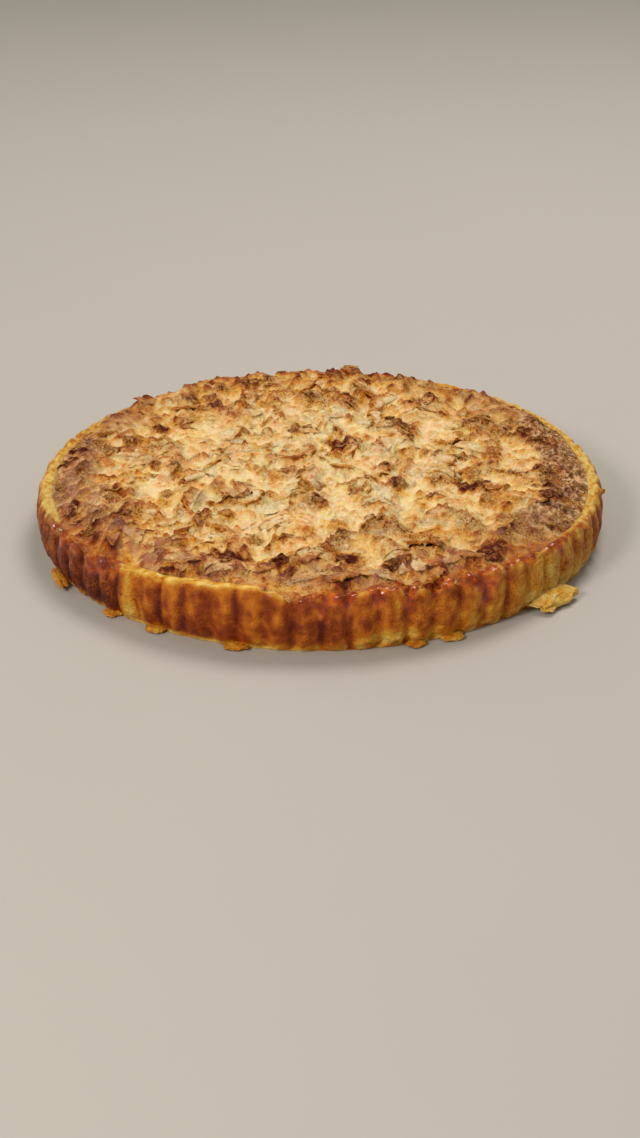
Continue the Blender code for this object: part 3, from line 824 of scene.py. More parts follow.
def crust_top(radius, angle):
    """Height of the crust's rounded rim under the custard's edge."""
    reach = radius - wander(angle)
    reach = reach + eased_table(LIP_ROUND, angle) * (1 - ease(INNER_RADIUS, CREST_RADIUS, reach))
    reach = reach + FLUTE_DEPTH * flute_valley(angle) * ease(CREST_RADIUS - 1, CREST_RADIUS + 1, reach)
    outline = ((INNER_RADIUS - 1, -4.6), (INNER_RADIUS, -3.2), (INNER_RADIUS + 1.0, -0.7),
               (CREST_RADIUS, 0), (CREST_RADIUS + 1.9, -0.9), (WIDEST_RADIUS, -4.2))
    places, heights = np.array(outline).T
    return rim_height(angle) + np.interp(reach, places, heights)


print("custard reaches", custard_edge(np.radians(-68)).round(1), "mm out where it boiled over and",
      custard_edge(np.radians(0)).round(1), "mm at the right")

# %% [markdown]
# The custard is one closed skin. Its top needs cells of even size, so a square grid is bent into a
# disc: each square ring of the grid becomes a circle. Rings of a polar grid would crowd together in
# the middle. Round the edge the skin turns down into the case, where a hidden skirt closes it.

# %% A square grid bent into a disc
GRID = 308


def disc_points(count):
    """A square grid of points bent into a disc of radius 1, its cells all of one area."""
    side = np.linspace(-1, 1, count)
    a, b = np.meshgrid(side, side, indexing="ij")
    wide = np.abs(a) >= np.abs(b)
    safe_a, safe_b = np.where(a == 0, 1e-9, a), np.where(b == 0, 1e-9, b)
    radius = np.where(wide, a, b)
    angle = np.where(wide, TAU / 8 * b / safe_a, TAU / 4 - TAU / 8 * a / safe_b)
    return radius * np.cos(angle), radius * np.sin(angle)


def square_ring(count):
    """Numbers of the points round the border of a square grid, in order."""
    last = count - 1
    step = np.arange(last)
    return np.concatenate((step * count, last * count + step, (last - step) * count + last,
                           last - step))


print("points on the custard's top:", GRID * GRID)

# %% [markdown]
# Juice boiled over the rim, ran down the flutes and left a syrupy edge on the custard above each run.
# One table says how far it ran down the wall, and another how far the syrup reaches inwards. Both are
# marks, not pieces, because a glaze has no thickness to speak of.

# %% Syrup at the edge
# Millimetres that juice ran down the wall, by degrees from +X
JUICE_RUN = ((-180, 2), (-162, 2), (-156, 6), (-150, 11), (-141, 13), (-134, 9), (-130.5, 0), (-97, 0),
             (-93, 7), (-89, 11), (-85.5, 12), (-82.5, 1.5), (-80, 10), (-77, 2), (-74.5, 13), (-71, 1.5),
             (-67.5, 9), (-64, 3), (-60, 14), (-56.5, 13), (-54, 3), (-52, 9), (-49.5, 2), (-47, 8),
             (-43, 2), (-37, 7), (-32, 2), (-26, 6), (-20, 2), (-12, 0), (180, 2))

# Millimetres that syrup reaches inwards from the rim, by degrees from +X
SYRUP_WIDTH = ((-180, 4), (-158, 4), (-150, 9), (-135, 8), (-128, 4), (-97, 5), (-60, 6), (-48, 13),
               (-36, 13), (-30, 4), (180, 4))


def spilled_juice(x, y, radius, angle):
    """How much juice lies on the custard, 0 to 1, in ragged patches above the runs on the wall."""
    width = eased_table(SYRUP_WIDTH, angle)
    ragged = 4 * crags(x, y, 6, 95)
    spilled = ease(INNER_RADIUS - width, INNER_RADIUS + 3 - 0.3 * width, radius + ragged)
    spilled = spilled * eased_table(SPILL_OVER, angle) ** 0.5
    dripping = ease(1, 8, eased_table(JUICE_RUN, angle) + 3 * wall_hills(angle, radius, 4, 98))
    return spilled * mix(0.45, 1, dripping)


print("juice ran up to", max(run for _, run in JUICE_RUN), "mm down the wall")

# %% [markdown]
# Now the skin itself. Its top is read from the sheet, its edge rounds over and sits on the crust, and
# two more rings and a middle point close it inside the case. The marks are read from the sheets too.

# %% The custard
EDGE_ROUND = (3.2, 1.7)
SKIRT = ((INNER_RADIUS - 1.0, RIM_HEIGHT - 8), (INNER_RADIUS - 2.2, FLOOR + 0.3))


def skirt_points(angle):
    """Two rings and a middle point that close the custard inside the case."""
    rings = [np.stack((radius * np.cos(angle), radius * np.sin(angle), np.full(len(angle), height)), -1)
             for radius, height in SKIRT]
    return np.concatenate(rings + [[(0, 0, SKIRT[-1][1])]])


def make_custard():
    """The custard's skin with its marks, as one closed piece."""
    unit_x, unit_y = (part.ravel() for part in disc_points(GRID))
    angle = np.arctan2(unit_y, unit_x)
    share = np.hypot(unit_x, unit_y)
    edge = custard_edge(angle)
    radius = share * INNER_RADIUS + (edge - INNER_RADIUS) * ease(0.86, 1, share)
    x, y = radius * np.cos(angle), radius * np.sin(angle)
    turn_down = np.clip((edge - radius) / mix(*EDGE_ROUND, eased_table(SPILL_OVER, angle)), 0, 1)
    seat = crust_top(radius, angle) - 0.7
    top = np.maximum(read_sheet(custard, x, y), seat + 0.75)
    z = mix(seat, top, np.sqrt(1 - (1 - turn_down) ** 2))
    z = np.minimum(z, HIGHEST_TIP)
    ring = square_ring(GRID)
    points = np.concatenate((np.stack((x, y, z), -1), skirt_points(angle[ring])))
    first = GRID * GRID
    upper = first + np.arange(len(ring))
    lower = upper + len(ring)
    faces = [grid_faces(GRID, GRID, closed=False)]
    for above, below in ((ring, upper), (upper, lower)):
        faces.append(np.stack((above, below, np.roll(below, -1), np.roll(above, -1)), -1))
    faces.append(fan_faces(lower, len(points) - 1, flip=True))
    sheets = {"brown": brown, "burn": burn, "grit": grit, "foam": foam, "dried_and_lit": dried_and_lit, "hollow_shade": hollow_shade,
              "mauve": mauve}
    marks = {mark: read_sheet(sheet, x, y) for mark, sheet in sheets.items()}
    spilled = spilled_juice(x, y, radius, angle)
    marks["brown"] += 0.12 * spilled
    marks["mauve"] *= 1 - spilled
    marks["juice"] = np.clip(spilled * (0.55 + 1.5 * crags(x, y, 5, 96)), 0, 1)
    hidden = len(points) - first
    marks = {mark: np.pad(values, (0, hidden)) for mark, values in marks.items()}
    return make_piece("custard", points, faces, marks)


custard_piece = make_custard()

# %% [markdown]
# Each slice is a flattened tube: rings of points run from one end to the other, pinched to a point
# at both. All slices share one pattern of faces, so hundreds of them join into one mesh with a
# single copy of the face numbers, shifted for each slice. A baked slice curls and shrivels, most of
# all along its thin skin edge, so noise bends it there.

# %% Slices as one mesh
def slice_faces(rings, around):
    """Faces of one slice: a tube of quads, and a fan of triangles at each end."""
    tube = grid_faces(rings, around)
    first_ring = np.arange(around)
    last_ring = first_ring + (rings - 1) * around
    ends = rings * around
    fans = np.concatenate((fan_faces(first_ring, ends, flip=True), fan_faces(last_ring, ends + 1)))
    return tube, fans


def signed_power(value, power):
    """A power that keeps the sign; below 1 it squares a round shape off."""
    return np.sign(value) * np.abs(value) ** power


def smooth_slice(apple, rings, sides):
    """A slice before it shrivels: its points along, across and up, then how each point lies.

    near_skin is 1 at the skin edge, thin_edge is 1 on the sharp rim, and upper is 1 on top.
    """
    sweep = np.linspace(0.045, 0.955, rings)[:, None] * math.pi
    around = np.linspace(0, TAU, sides, endpoint=False)[None, :]
    u = -apple["length"] / 2 * np.cos(sweep) * np.ones_like(around)
    back, skin = slice_outline(apple, u)
    across = (back + skin) / 2 + (skin - back) / 2 * signed_power(np.cos(around), 0.6)
    taper = np.sin(sweep) ** 0.4
    thinned = 1 - 0.80 * np.clip(across / apple["width"], 0, 1) ** 2
    up = apple["thickness"] / 2 * (1 + thinned * taper * signed_power(np.sin(around), 0.7))
    near_skin = np.clip((across / apple["width"]) ** 2, 0, 1) * np.ones_like(u)
    u, across, up = (np.append(part.ravel(), ends) for part, ends in (
        (u, (-apple["length"] / 2, apple["length"] / 2)), (across, (0, 0)),
        (up, (apple["thickness"] / 2,) * 2)))
    near_skin = np.append(near_skin.ravel(), (0.6, 0.6))
    thin_edge = np.maximum(np.clip(np.cos(around), 0, 1) ** 3, np.abs(np.cos(sweep)) ** 4)
    thin_edge = np.append((thin_edge * np.ones((rings, sides))).ravel(), (1, 1))
    upper = np.append((0.5 + 0.5 * np.sin(around) * np.ones((rings, 1))).ravel(), (0.5, 0.5))
    return u, across, up, near_skin, thin_edge, upper


def slice_points(apple, shrivel, rings, sides):
    """Points of one slice in the tart, how near each lies to its thin edge, and 1 on top to 0 below."""
    u, across, up, near_skin, thin_edge, upper = smooth_slice(apple, rings, sides)
    shift = 37 * apple["turn"]
    layered = slice_layers(apple, slice_outline(apple, u)[1] - across)
    up = up + apple["curl"] * u ** 2 + upper * layered
    up = up + shrivel * near_skin * hills(u + shift, across, 3.0, 101)
    up = up + 0.35 * shrivel * hills(u + shift, across, 1.6, 103)
    across = across + 0.8 * shrivel * near_skin * hills(u + shift, up + 9, 3.4, 105)
    axes = slice_axes(apple)
    place = np.array((apple["x"], apple["y"], apple["z"]))
    points = place + np.outer(u, axes[0]) + np.outer(across, axes[1]) + np.outer(up, axes[2])
    surface = read_sheet(beds[apple.get("bed", "close")], points[:, 0], points[:, 1])
    curled = thin_edge * (0.3 + 1.0 * hills(points[:, 0], points[:, 1], 3.2, 107))
    laid = surface + up - apple["thickness"] + apple.get("above", 0.1) * (1 + curled)
    points[:, 2] = mix(points[:, 2], laid, apple["hugs"])
    return points, thin_edge, upper


def lift_over_rim(points):
    """Raise the outer end of a slice that spills over, so that it lies on the crust's crest."""
    radius = np.hypot(points[:, 0], points[:, 1])
    angle = np.arctan2(points[:, 1], points[:, 0])
    outside = radius > SLICE_EDGE
    if outside.any():
        needed = max(0, (rim_height(angle) + 0.5 - points[:, 2])[outside].max())
        points[:, 2] += needed * ease(SLICE_EDGE - 9, SLICE_EDGE, radius)


def join_slices(name, slices, shrivel, mark_slice, rings, sides):
    """One piece from many slices; mark_slice gives the marks of each slice's points."""
    tube, fans = slice_faces(rings, sides)
    each = rings * sides + 2
    all_points, marks = [], []
    for apple in slices:
        points, thin_edge, upper = slice_points(apple, shrivel, rings, sides)
        if apple["spills"]:
            lift_over_rim(points)
        points[:, 2] = np.minimum(points[:, 2], HIGHEST_TIP)
        all_points.append(points)
        marks.append(mark_slice(apple, points, thin_edge, upper))
    shifts = np.arange(len(slices))[:, None, None] * each
    faces = [(group[None] + shifts).reshape(-1, group.shape[1]) for group in (tube, fans)]
    marks = {key: np.concatenate([mark[key] for mark in marks]) for key in marks[0]}
    return make_piece(name, np.concatenate(all_points), faces, marks)


# %% [markdown]
# A slice takes its colour from the custard round it, so that it looks baked in the same oven. Its own
# tone, a blotch of noise, and how far it stands out make it paler or darker, and its thin skin edge
# is singed where it stands free. Slices hug the surface that they lie on: `hugs` is by how much, and
# `beds` holds that surface, once close and once smoothed.

# %% Apple slices and slivers
def mark_apple(apple, points, thin_edge, upper):
    """Pale to tan over its face; a thin edge that stands out of the custard goes dark."""
    x, y, z = points.T
    out = np.clip((z - read_sheet(custard, x, y)) / 1.2, -1, 1.5)
    around = read_sheet(brown, x, y)
    if "tone" in apple:
        tone = apple["tone"]
        around = mix(around, 0.32 + 0.16 * tone, 0.75)
    else:
        tone = hills(apple["x"], apple["y"], 3.0, 111)
    blotch = crags(x, y + 2 * z, 3.2, 113)
    singed = thin_edge ** 1.4 * ease(0.3, 0.6, upper) * ease(0.1, 1.0, out)
    singed = singed * (0.7 + 0.6 * tone + 0.5 * blotch)
    browned = around + 0.05 * out + 0.15 * tone + 0.20 * blotch - 0.08
    browned = np.minimum(browned, 0.55 + 0.15 * blotch)
    browned = mix(np.minimum(browned, 0.44), browned, ease(0.2, 0.6, upper))
    return {
        "brown": np.minimum(browned + 0.30 * np.clip(singed, 0, 1), 0.80),
        # Partly painted light: the upper face gets the dull colour of lit, dried tops, and the underside
        # the gold of shade.
        "dried_and_lit": np.clip(0.65 * upper + 0.35 * tone - 0.3 * thin_edge, 0, 1),
        # Painted shade on the parts of a slice that sink below the custard, and on its underside.
        "hollow_shade": np.clip(0.4 - 0.7 * out - 0.5 * upper, 0, 1),
        "burn": 0.8 * read_sheet(burn, x, y) + 0.2 * np.clip(singed - 0.35, 0, 1),
        "foam": 0.7 * read_sheet(foam, x, y),
        "grit": 0.7 * read_sheet(grit, x, y),
        "juice": np.zeros(len(x)),
        "mauve": read_sheet(mauve, x, y),
    }


beds = {"close": soften(skyline, 0.5), "smooth": soften(skyline, 2.2)}
for apple in slivers:
    apple.setdefault("hugs", 0.5)
for apple in slices:
    apple["hugs"] = 0.5 if apple["spills"] else 0
apple_piece = join_slices("apple_slices", slices, shrivel=1.25, mark_slice=mark_apple, rings=28, sides=18)
sliver_piece = join_slices("apple_slivers", slivers, shrivel=0.7, mark_slice=mark_apple, rings=16,
                           sides=12)

# %% [markdown]
# The burnt tips are small slices too, but crumpled hard, baked maroon to black, and laid on the burnt
# crests, a few to each. Without them a crest would look like a dark stain and not like a charred peak.

# %% Burnt tips as one mesh
def lay_tips():
    """A few small slices on each burnt crest, more on the larger ones."""
    draw = random.Random(17)
    tips = []
    for x, y, size, darkness in BURNT_CRESTS:
        for _ in range(round(0.40 * size)):
            tips.append({
                "x": x + draw.uniform(-0.36, 0.36) * size,
                "y": y + draw.uniform(-0.36, 0.36) * size,
                "length": size * draw.uniform(0.4, 0.8),
                "width": size * draw.uniform(0.22, 0.45),
                "thickness": draw.uniform(0.35, 0.6),
                "turn": draw.uniform(0, TAU),
                "tilt": math.radians(draw.uniform(0, 34)),
                "curl": draw.uniform(-0.10, 0.06),
                "sink": draw.uniform(0.1, 0.7),
                "darkness": darkness,
                "spills": False,
                "hugs": 0.75,
                "above": 0.45,
            })
    lean_on_crests(tips, skyline, loose=(-10, 26))
    return tips


def mark_tip(tip, points, thin_edge, upper):
    """Nearly black on top of a dark crest, and maroon lower down."""
    x, y, z = points.T
    height = np.clip((z - read_sheet(custard, x, y)) / 1.6, 0, 1)
    blotch = crags(x, y + 2 * z, 2.4, 115)
    scorched = tip["darkness"] * (0.70 + 0.35 * height - 0.15 * thin_edge) + 0.35 * blotch
    none = np.zeros(len(points))
    return {
        "brown": 0.28 + 0.50 * scorched,
        # Partly painted light: upper faces get the dull colour of lit, dried tops.
        "dried_and_lit": np.clip(0.2 + 0.5 * upper + 0.3 * blotch, 0, 1),
        # Painted shade on the low parts of a tip and on its underside.
        "hollow_shade": np.clip(0.8 - height - 0.5 * upper, 0, 1),
        "burn": np.clip(2.0 * scorched - 0.75, 0, 1),
        "foam": none,
        "grit": none + 0.4,
        "juice": none,
        "mauve": none,
    }


tips_piece = join_slices("burnt_tips", lay_tips(), shrivel=0.8, mark_slice=mark_tip, rings=14, sides=12)

# %% [markdown]
# The crust is turned like a bowl: a section is drawn once, from the inside of the rim over its crest
# and down to the foot, and carried round. What makes it pastry is what happens on the way round: the
# flutes of the tin, a wall that leans, lumps, crumb, pits where fat melted out, and a rim that was
# pressed by thumb. The section's points are the solid's, rounded by a smooth curve through them.

# %% The crust's section
CRUST_COLUMNS = FLUTES * 12
CRUST_SECTION = (
    (INNER_RADIUS - 1.4, FLOOR), (INNER_RADIUS - 0.6, 14.0), (INNER_RADIUS, RIM_HEIGHT - 3.2),
    (INNER_RADIUS + 1.0, RIM_HEIGHT - 0.7), (CREST_RADIUS, RIM_HEIGHT),
    (CREST_RADIUS + 1.9, RIM_HEIGHT - 0.9), (WIDEST_RADIUS - 0.9, RIM_HEIGHT - 4.2),
    (WIDEST_RADIUS, 13.0), (WIDEST_RADIUS - 0.9, 5.0), (FOOT_RADIUS + 0.9, 1.0), (FOOT_RADIUS, 0.0),
)
ROWS_PER_MM = 2.2


def smooth_section(corners):
    """Points about half a millimetre apart on a smooth curve through the section's corners."""
    corners = np.array(corners)
    before = np.vstack((2 * corners[0] - corners[1], corners[:-1]))
    after = np.vstack((corners[1:], 2 * corners[-1] - corners[-2]))
    pull = (after - before) / 2
    rows = []
    for a, b, pull_a, pull_b in zip(corners, corners[1:], pull, pull[1:]):
        length = np.hypot(*(b - a))
        scale_a = min(1.0, length / np.hypot(*pull_a))
        scale_b = min(1.0, length / np.hypot(*pull_b))
        count = max(2, round(length * ROWS_PER_MM))
        t = (np.arange(count) / count)[:, None]
        curve = (2 * t ** 3 - 3 * t ** 2 + 1) * a + (t ** 3 - 2 * t ** 2 + t) * pull_a * scale_a
        curve = curve + (3 * t ** 2 - 2 * t ** 3) * b + (t ** 3 - t ** 2) * pull_b * scale_b
        rows.append(curve)
    return np.concatenate(rows + [corners[-1:]])


section = smooth_section(CRUST_SECTION)
print("section rows:", len(section))

# %% [markdown]
# On the wall the juice baked to a dark red glaze. It ran further in the valleys than on the ribs, and
# noise makes its edge ragged. The bake of the wall itself, from pale to dark, goes round by a table
# too: a texture alone would be even, and an oven isn't.

# %% Juice and bake round the wall
# Millimetres that juice reaches inwards over the lip, by degrees from +X
JUICE_INWARD = ((-180, 0), (-158, 0), (-153, 3), (-134, 3), (-131, 0), (-96, 0), (-90, 2), (-36, 2),
                (-20, 0), (180, 0))

# How dark the wall and the rim's lip are baked, 0 to 1, by degrees from +X
WALL_BAKE = ((-180, 0.58), (-160, 0.66), (-150, 0.76), (-140, 0.74), (-133, 0.66), (-130.6, 0.52),
             (-129.8, 0.40), (-127, 0.42), (-125, 0.55), (-119, 0.54), (-112, 0.53), (-100, 0.56),
             (-93, 0.60), (-88, 0.60), (-84, 0.54), (-78, 0.48), (-64, 0.48), (-55, 0.42), (-45, 0.31),
             (-36, 0.30), (-28, 0.44), (-18, 0.54), (0, 0.52), (20, 0.50), (90, 0.55), (180, 0.55))
LIP_BAKE = ((-180, 0.10), (-156, 0.12), (-150, 0.36), (-136, 0.38), (-130, 0.26), (-122, 0.20),
            (-97, 0.22), (-86, 0.30), (-70, 0.26), (-45, 0.30), (-30, 0.30), (-20, 0.20), (0, 0.12),
            (30, 0.18), (90, 0.42), (150, 0.30), (180, 0.20))

# How much paler the foot is where it crumbled, and below 0 how much darker with painted shade at the
# floor, by degrees from +X
FOOT_PALENESS_AND_SHADE = ((-180, -0.05), (-156, -0.16), (-133, -0.22), (-130.5, 0.16), (-126, 0.16), (-124, -0.12),
             (-106, -0.10), (-100, 0.08), (-85, 0.05), (-82, 0.40), (-75, 0.40), (-71, 0.12),
             (-66, 0.10), (-58, 0.04), (-50, 0.12), (-46, 0.34), (-36, 0.34), (-32, 0.20), (-20, 0.15),
             (20, 0.05), (180, 0.05))


def wall_juice(angle, depth, valley):
    """1 where juice covers the wall, at a depth below the crest, and 0 below its ragged edge."""
    run = eased_table(JUICE_RUN, angle)
    ragged = 0.75 + 0.6 * wall_hills(angle, depth / 3, 5, 121) + 0.35 * valley
    patchy = 0.75 + 1.0 * wall_hills(angle, depth / 2, 5.5, 123)
    covered = 1.5 * ease(0, 4.0, run * ragged - depth) * ease(0.5, 3.0, run)
    return np.clip(covered * patchy, 0, 1)


def wall_bake(angle, radius, height):
    """How dark the crust is baked: the wall, its foot paler or with painted shade, and the lip over the
    rim.
    """
    around = angle * CREST_RADIUS
    bake = eased_table(WALL_BAKE, angle) + 0.14 * crags(around, 0.5 * height, 7, 141)
    bake = bake + 0.08 * hills(around, 0.4 * height, 2.4, 142)
    # The foot: paler where it crumbled, and darker with painted shade where the table is below 0.
    bake = bake - eased_table(FOOT_PALENESS_AND_SHADE, angle) * (1 - ease(2, 14, height))
    lip_bake = eased_table(LIP_BAKE, angle) + 0.26 * crags(around, radius * 2, 4, 144)
    return mix(bake, lip_bake, 1 - ease(CREST_RADIUS + 1.2, CREST_RADIUS + 3.6, radius))


print("the wall's bake:", min(bake for _, bake in WALL_BAKE), "to", max(bake for _, bake in WALL_BAKE))

# %% [markdown]
# Baked dough isn't smooth: it has lumps, crumb, pits where fat melted out, thumb marks on the lip,
# runs of juice that stand proud, and a pale foot that crumbles. All of them swell the wall outwards
# or eat into it, so they are added up as one number of millimetres, from noise of several sizes.

# %% Roughen the wall
def wall_swell(angle, radius, height, outside, lip, juice):
    """Millimetres that the crust stands out from its smooth section, or lies inside it."""
    around = angle * CREST_RADIUS
    lumps = 0.30 * hills(around, height, 13, 131) + 0.26 * hills(around, height, 6, 132)
    crumb = 0.18 * hills(around, height, 2.4, 133) + 0.15 * hills(around, height, 1.3, 134)
    pits = -0.5 * ease(0.55, 0.9, hills(around, height, 2.8, 135))
    thumbed = 0.40 * hills(around, radius * 2, 7, 136) + 0.26 * hills(around, radius * 3, 3, 137)
    thumbed = lip * thumbed * (1 + 0.8 * juice)
    runny = 0.30 + 0.5 * hills(around, (RIM_HEIGHT - height) / 3, 4, 139)
    crumbled = np.maximum(0, eased_table(FOOT_PALENESS_AND_SHADE, angle)) * (1 - ease(3, 10, height)) * outside
    crumbled = crumbled * (2.4 * crags(around, height, 3.2, 145) - 0.8)
    swell = lumps * outside + crumb + pits * outside * (1 - juice) + thumbed
    return swell + runny * juice + crumbled - 0.28


front = wall_swell(FIRST_VALLEY, WIDEST_RADIUS, 13.0, outside=1, lip=0, juice=0)
print("half way up the wall at the front it stands out by", front.round(2), "mm")

# %% [markdown]
# The crust is carried round in columns, twelve to a flute. Each point of the section is moved in by
# the flutes, out by the swell, and up or down with the rim. The bottom edge is torn a little, where
# dough stuck to the tin. Two middle points close the floor above and below.

# %% The crust
# How deep each flute scallops the rim's edge, in millimetres, by degrees from +X
SCALLOP = ((-180, 0.1), (-150, 0.2), (-130, 0.9), (-60, 0.9), (-40, 0.4), (-25, 0.1), (180, 0.1))

# How coarse the pastry's grain is, 0 to 1, by degrees from +X
GRAINY = ((-180, 0.5), (-150, 0.9), (-136, 0.9), (-131, 0.4), (-120, 0.2), (-100, 0.12), (-85, 0.2),
          (-60, 0.3), (-48, 0.4), (-35, 0.6), (-10, 0.5), (40, 0.4), (180, 0.5))
LOWEST = 0.02


def crust_grid():
    """Angle, radius and height of every point of the section carried round, one row each."""
    angle = (np.arange(CRUST_COLUMNS) / CRUST_COLUMNS * TAU)[None, :] + FIRST_VALLEY
    angle = (angle + math.pi) % TAU - math.pi
    ones = np.ones_like(angle)
    return angle, section[:, :1] * ones, section[:, 1:] * ones


def make_crust():
    """The crust with its marks: the section carried round, and its floor closed."""
    angle, radius, height = crust_grid()
    slope = np.gradient(section, axis=0)
    slope /= np.hypot(*slope.T)[:, None]
    out_r, out_z = -slope[:, 1:], slope[:, :1]
    outside = ease(CREST_RADIUS - 0.3, CREST_RADIUS + 1.5, radius)
    foot = 1 - ease(0.2, 3.0, height)
    lip = ease(RIM_HEIGHT - 4, RIM_HEIGHT - 1, height)
    valley = flute_valley(angle) * outside * (1 - 0.40 * ease(RIM_HEIGHT - 5, RIM_HEIGHT, height))
    juice_from = CREST_RADIUS - eased_table(JUICE_INWARD, angle)
    juice = wall_juice(angle, RIM_HEIGHT - height, valley)
    juice = juice * ease(juice_from - 0.5, juice_from + 1.2, radius)
    swell = wall_swell(angle, radius, height, outside, lip, juice)
    radius = radius - eased_table(LIP_ROUND, angle) * (1 - ease(INNER_RADIUS, CREST_RADIUS, radius))
    reach = radius + wander(angle) - FLUTE_DEPTH * valley + swell * out_r
    around = angle * CREST_RADIUS
    torn = foot * np.maximum(0, hills(around, 0, 4.5, 138))
    reach = reach - 0.9 * torn
    lift = (rim_height(angle) - RIM_HEIGHT) * ease(FLOOR, RIM_HEIGHT, height)
    scallop = eased_table(SCALLOP, angle) * lip * flute_valley(angle)
    lift = lift - scallop * ease(CREST_RADIUS - 2, CREST_RADIUS + 1, radius)
    rise = np.maximum(height + lift + swell * out_z * (1 - foot), LOWEST)
    points = np.stack((reach * np.cos(angle), reach * np.sin(angle), rise), -1).reshape(-1, 3)
    middle_top, middle_under = len(points), len(points) + 1
    points = np.vstack((points, ((0, 0, FLOOR), (0, 0, LOWEST))))
    first_row = np.arange(CRUST_COLUMNS)
    last_row = first_row + (len(section) - 1) * CRUST_COLUMNS
    faces = [grid_faces(len(section), CRUST_COLUMNS)[:, ::-1],
             np.concatenate((fan_faces(first_row, middle_top),
                             fan_faces(last_row, middle_under, flip=True)))]
    # The valley mark darkens the grooves between the ribs: partly baked dark, partly painted shade.
    valley_bake_and_shade = valley ** 2.6 * ease(-1.6, 0.8, hills(around, height, 17, 143))
    grain = eased_table(GRAINY, angle) * np.ones_like(height)
    marks = {"brown": wall_bake(angle, radius, height), "valley": valley_bake_and_shade, "juice": juice, "grain": grain}
    marks = {mark: np.append(values.ravel(), (0, 0)) for mark, values in marks.items()}
    return make_piece("crust", points, faces, marks)


crust_piece = make_crust()

# %% [markdown]
# Scraps of dough squeezed out under the tin's edge and baked onto the foot: a torn flap at the front
# right, a loose strip at the left, a nub on the right wall, and drips. Each is a ball, flattened and
# roughened by noise, which is simpler than modelling each by hand and just as irregular. They are the
# solid's own scraps, at the same places and nearly the same sizes, and their inner half is drawn out
# to root them in the wall.

# %% Scraps of pastry
SCRAPS = (
    # angle, reach, length, width, thickness, height, turn, droop, squareness, raggedness
    (-41, 126.0, 21, 9.5, 5.4, 3.6, -6, 0.35, 0.72, 0.22),
    (-44, 128.6, 9, 5.0, 2.16, 2.0, 12, 0, 1, 0.22),
    (-152, 124.6, 22, 3.8, 1.8, 2.2, -9, 0, 1, 0.22),
    (-134, 121.8, 8, 7.0, 2.04, 1.0, -8, 0, 1, 0.16),
    (-123, 121.8, 8, 7.0, 2.04, 1.0, 0, 0, 1, 0.16),
    (-106, 121.8, 11, 7.0, 2.04, 1.0, 8, 0, 1, 0.16),
    (-72.5, 121.8, 8, 7.0, 2.04, 1.0, -8, 0, 1, 0.16),
    (-65, 121.8, 11, 7.0, 2.04, 1.0, 0, 0, 1, 0.16),
    (-4, 122.8, 5.5, 5.0, 2.64, 17.5, 0, 0, 1, 0.22),
)
FLAP_PIECES = 2
FLAP_BAKE, DRIP_BAKE = 0.15, 0.34
BALL_RINGS, BALL_AROUND = 28, 44
ROOT_STRETCH = 1.7
SCRAP_LEFT, SCRAP_RIGHT, SCRAP_FRONT = -124.4, 125.1, -124.0


def rough_ball(squareness, raggedness, seed):
    """Points of a rough ball about 1 across, rings first and then its two poles."""
    sweep = np.linspace(0.03, 0.97, BALL_RINGS)[:, None] * math.pi
    around = np.linspace(0, TAU, BALL_AROUND, endpoint=False)[None, :]
    ball = np.stack((np.sin(sweep) * np.cos(around), np.sin(sweep) * np.sin(around),
                     np.cos(sweep) * np.ones_like(around)), -1).reshape(-1, 3)
    ball = np.vstack((ball, ((0, 0, 1), (0, 0, -1))))
    x, y, z = ball.T
    rough = 0.26 * hills(x * 9, y * 9 + z * 5, 6, seed)
    rough += 0.20 * hills(x * 9, y * 9 - z * 7, 2.4, seed + 1)
    ball[:, :2] = signed_power(ball[:, :2], squareness)
    jagged = 1 + raggedness * crags(5 * ball[:, 0], 5 * ball[:, 1], 2.6, seed + 2)
    ball[:, :2] *= jagged[:, None]
    return 0.5 * ball * (1 + 0.8 * rough[:, None] - 0.06)


def scrap_points(scrap, seed):
    """Points of one scrap, flattened, drooping outwards and set against the wall."""
    angle, reach, length, width, thickness, height, turn, droop, squareness, raggedness = scrap
    ball = rough_ball(squareness, raggedness, seed)
    ball[:, 0] = np.where(ball[:, 0] < 0, ROOT_STRETCH * ball[:, 0], ball[:, 0])
    ball[:, 2] -= droop * ball[:, 0]
    ball *= np.array((width, length, thickness))
    bearing = math.radians(angle)
    pose = bearing + math.radians(turn)
    x = ball[:, 0] * math.cos(pose) - ball[:, 1] * math.sin(pose) + reach * math.cos(bearing)
    y = ball[:, 0] * math.sin(pose) + ball[:, 1] * math.cos(pose) + reach * math.sin(bearing)
    x, y = np.clip(x, SCRAP_LEFT, SCRAP_RIGHT), np.maximum(y, SCRAP_FRONT)
    return np.stack((x, y, np.maximum(ball[:, 2] + height, 0.03)), -1)


def make_scraps():
    """All the scraps as one piece, each a closed rough ball."""
    ends = BALL_RINGS * BALL_AROUND
    first = np.arange(BALL_AROUND)
    tube = grid_faces(BALL_RINGS, BALL_AROUND)[:, ::-1]
    fans = np.concatenate((fan_faces(first, ends),
                           fan_faces(first + ends - BALL_AROUND, ends + 1, flip=True)))
    shifts = np.arange(len(SCRAPS))[:, None, None] * (ends + 2)
    faces = [(group[None] + shifts).reshape(-1, group.shape[1]) for group in (tube, fans)]
    points = np.concatenate([scrap_points(scrap, 150 + 3 * n) for n, scrap in enumerate(SCRAPS)])
    x, y, _ = points.T
    bakes = [FLAP_BAKE if n < FLAP_PIECES else DRIP_BAKE for n in range(len(SCRAPS))]
    marks = {"brown": np.repeat(bakes, ends + 2) + 0.14 * crags(x, y, 4, 161), "valley": 0 * x,
             "juice": 0 * x, "grain": 0 * x + 0.3}
    return make_piece("pastry_scraps", points, faces, marks)


scraps_piece = make_scraps()

# %% [markdown]
# Materials next. They are built from nodes in Python, so that every number can be read here. A few
# helpers keep that short: each adds one node, feeds it from sockets or plain numbers, and gives back
# its output socket.

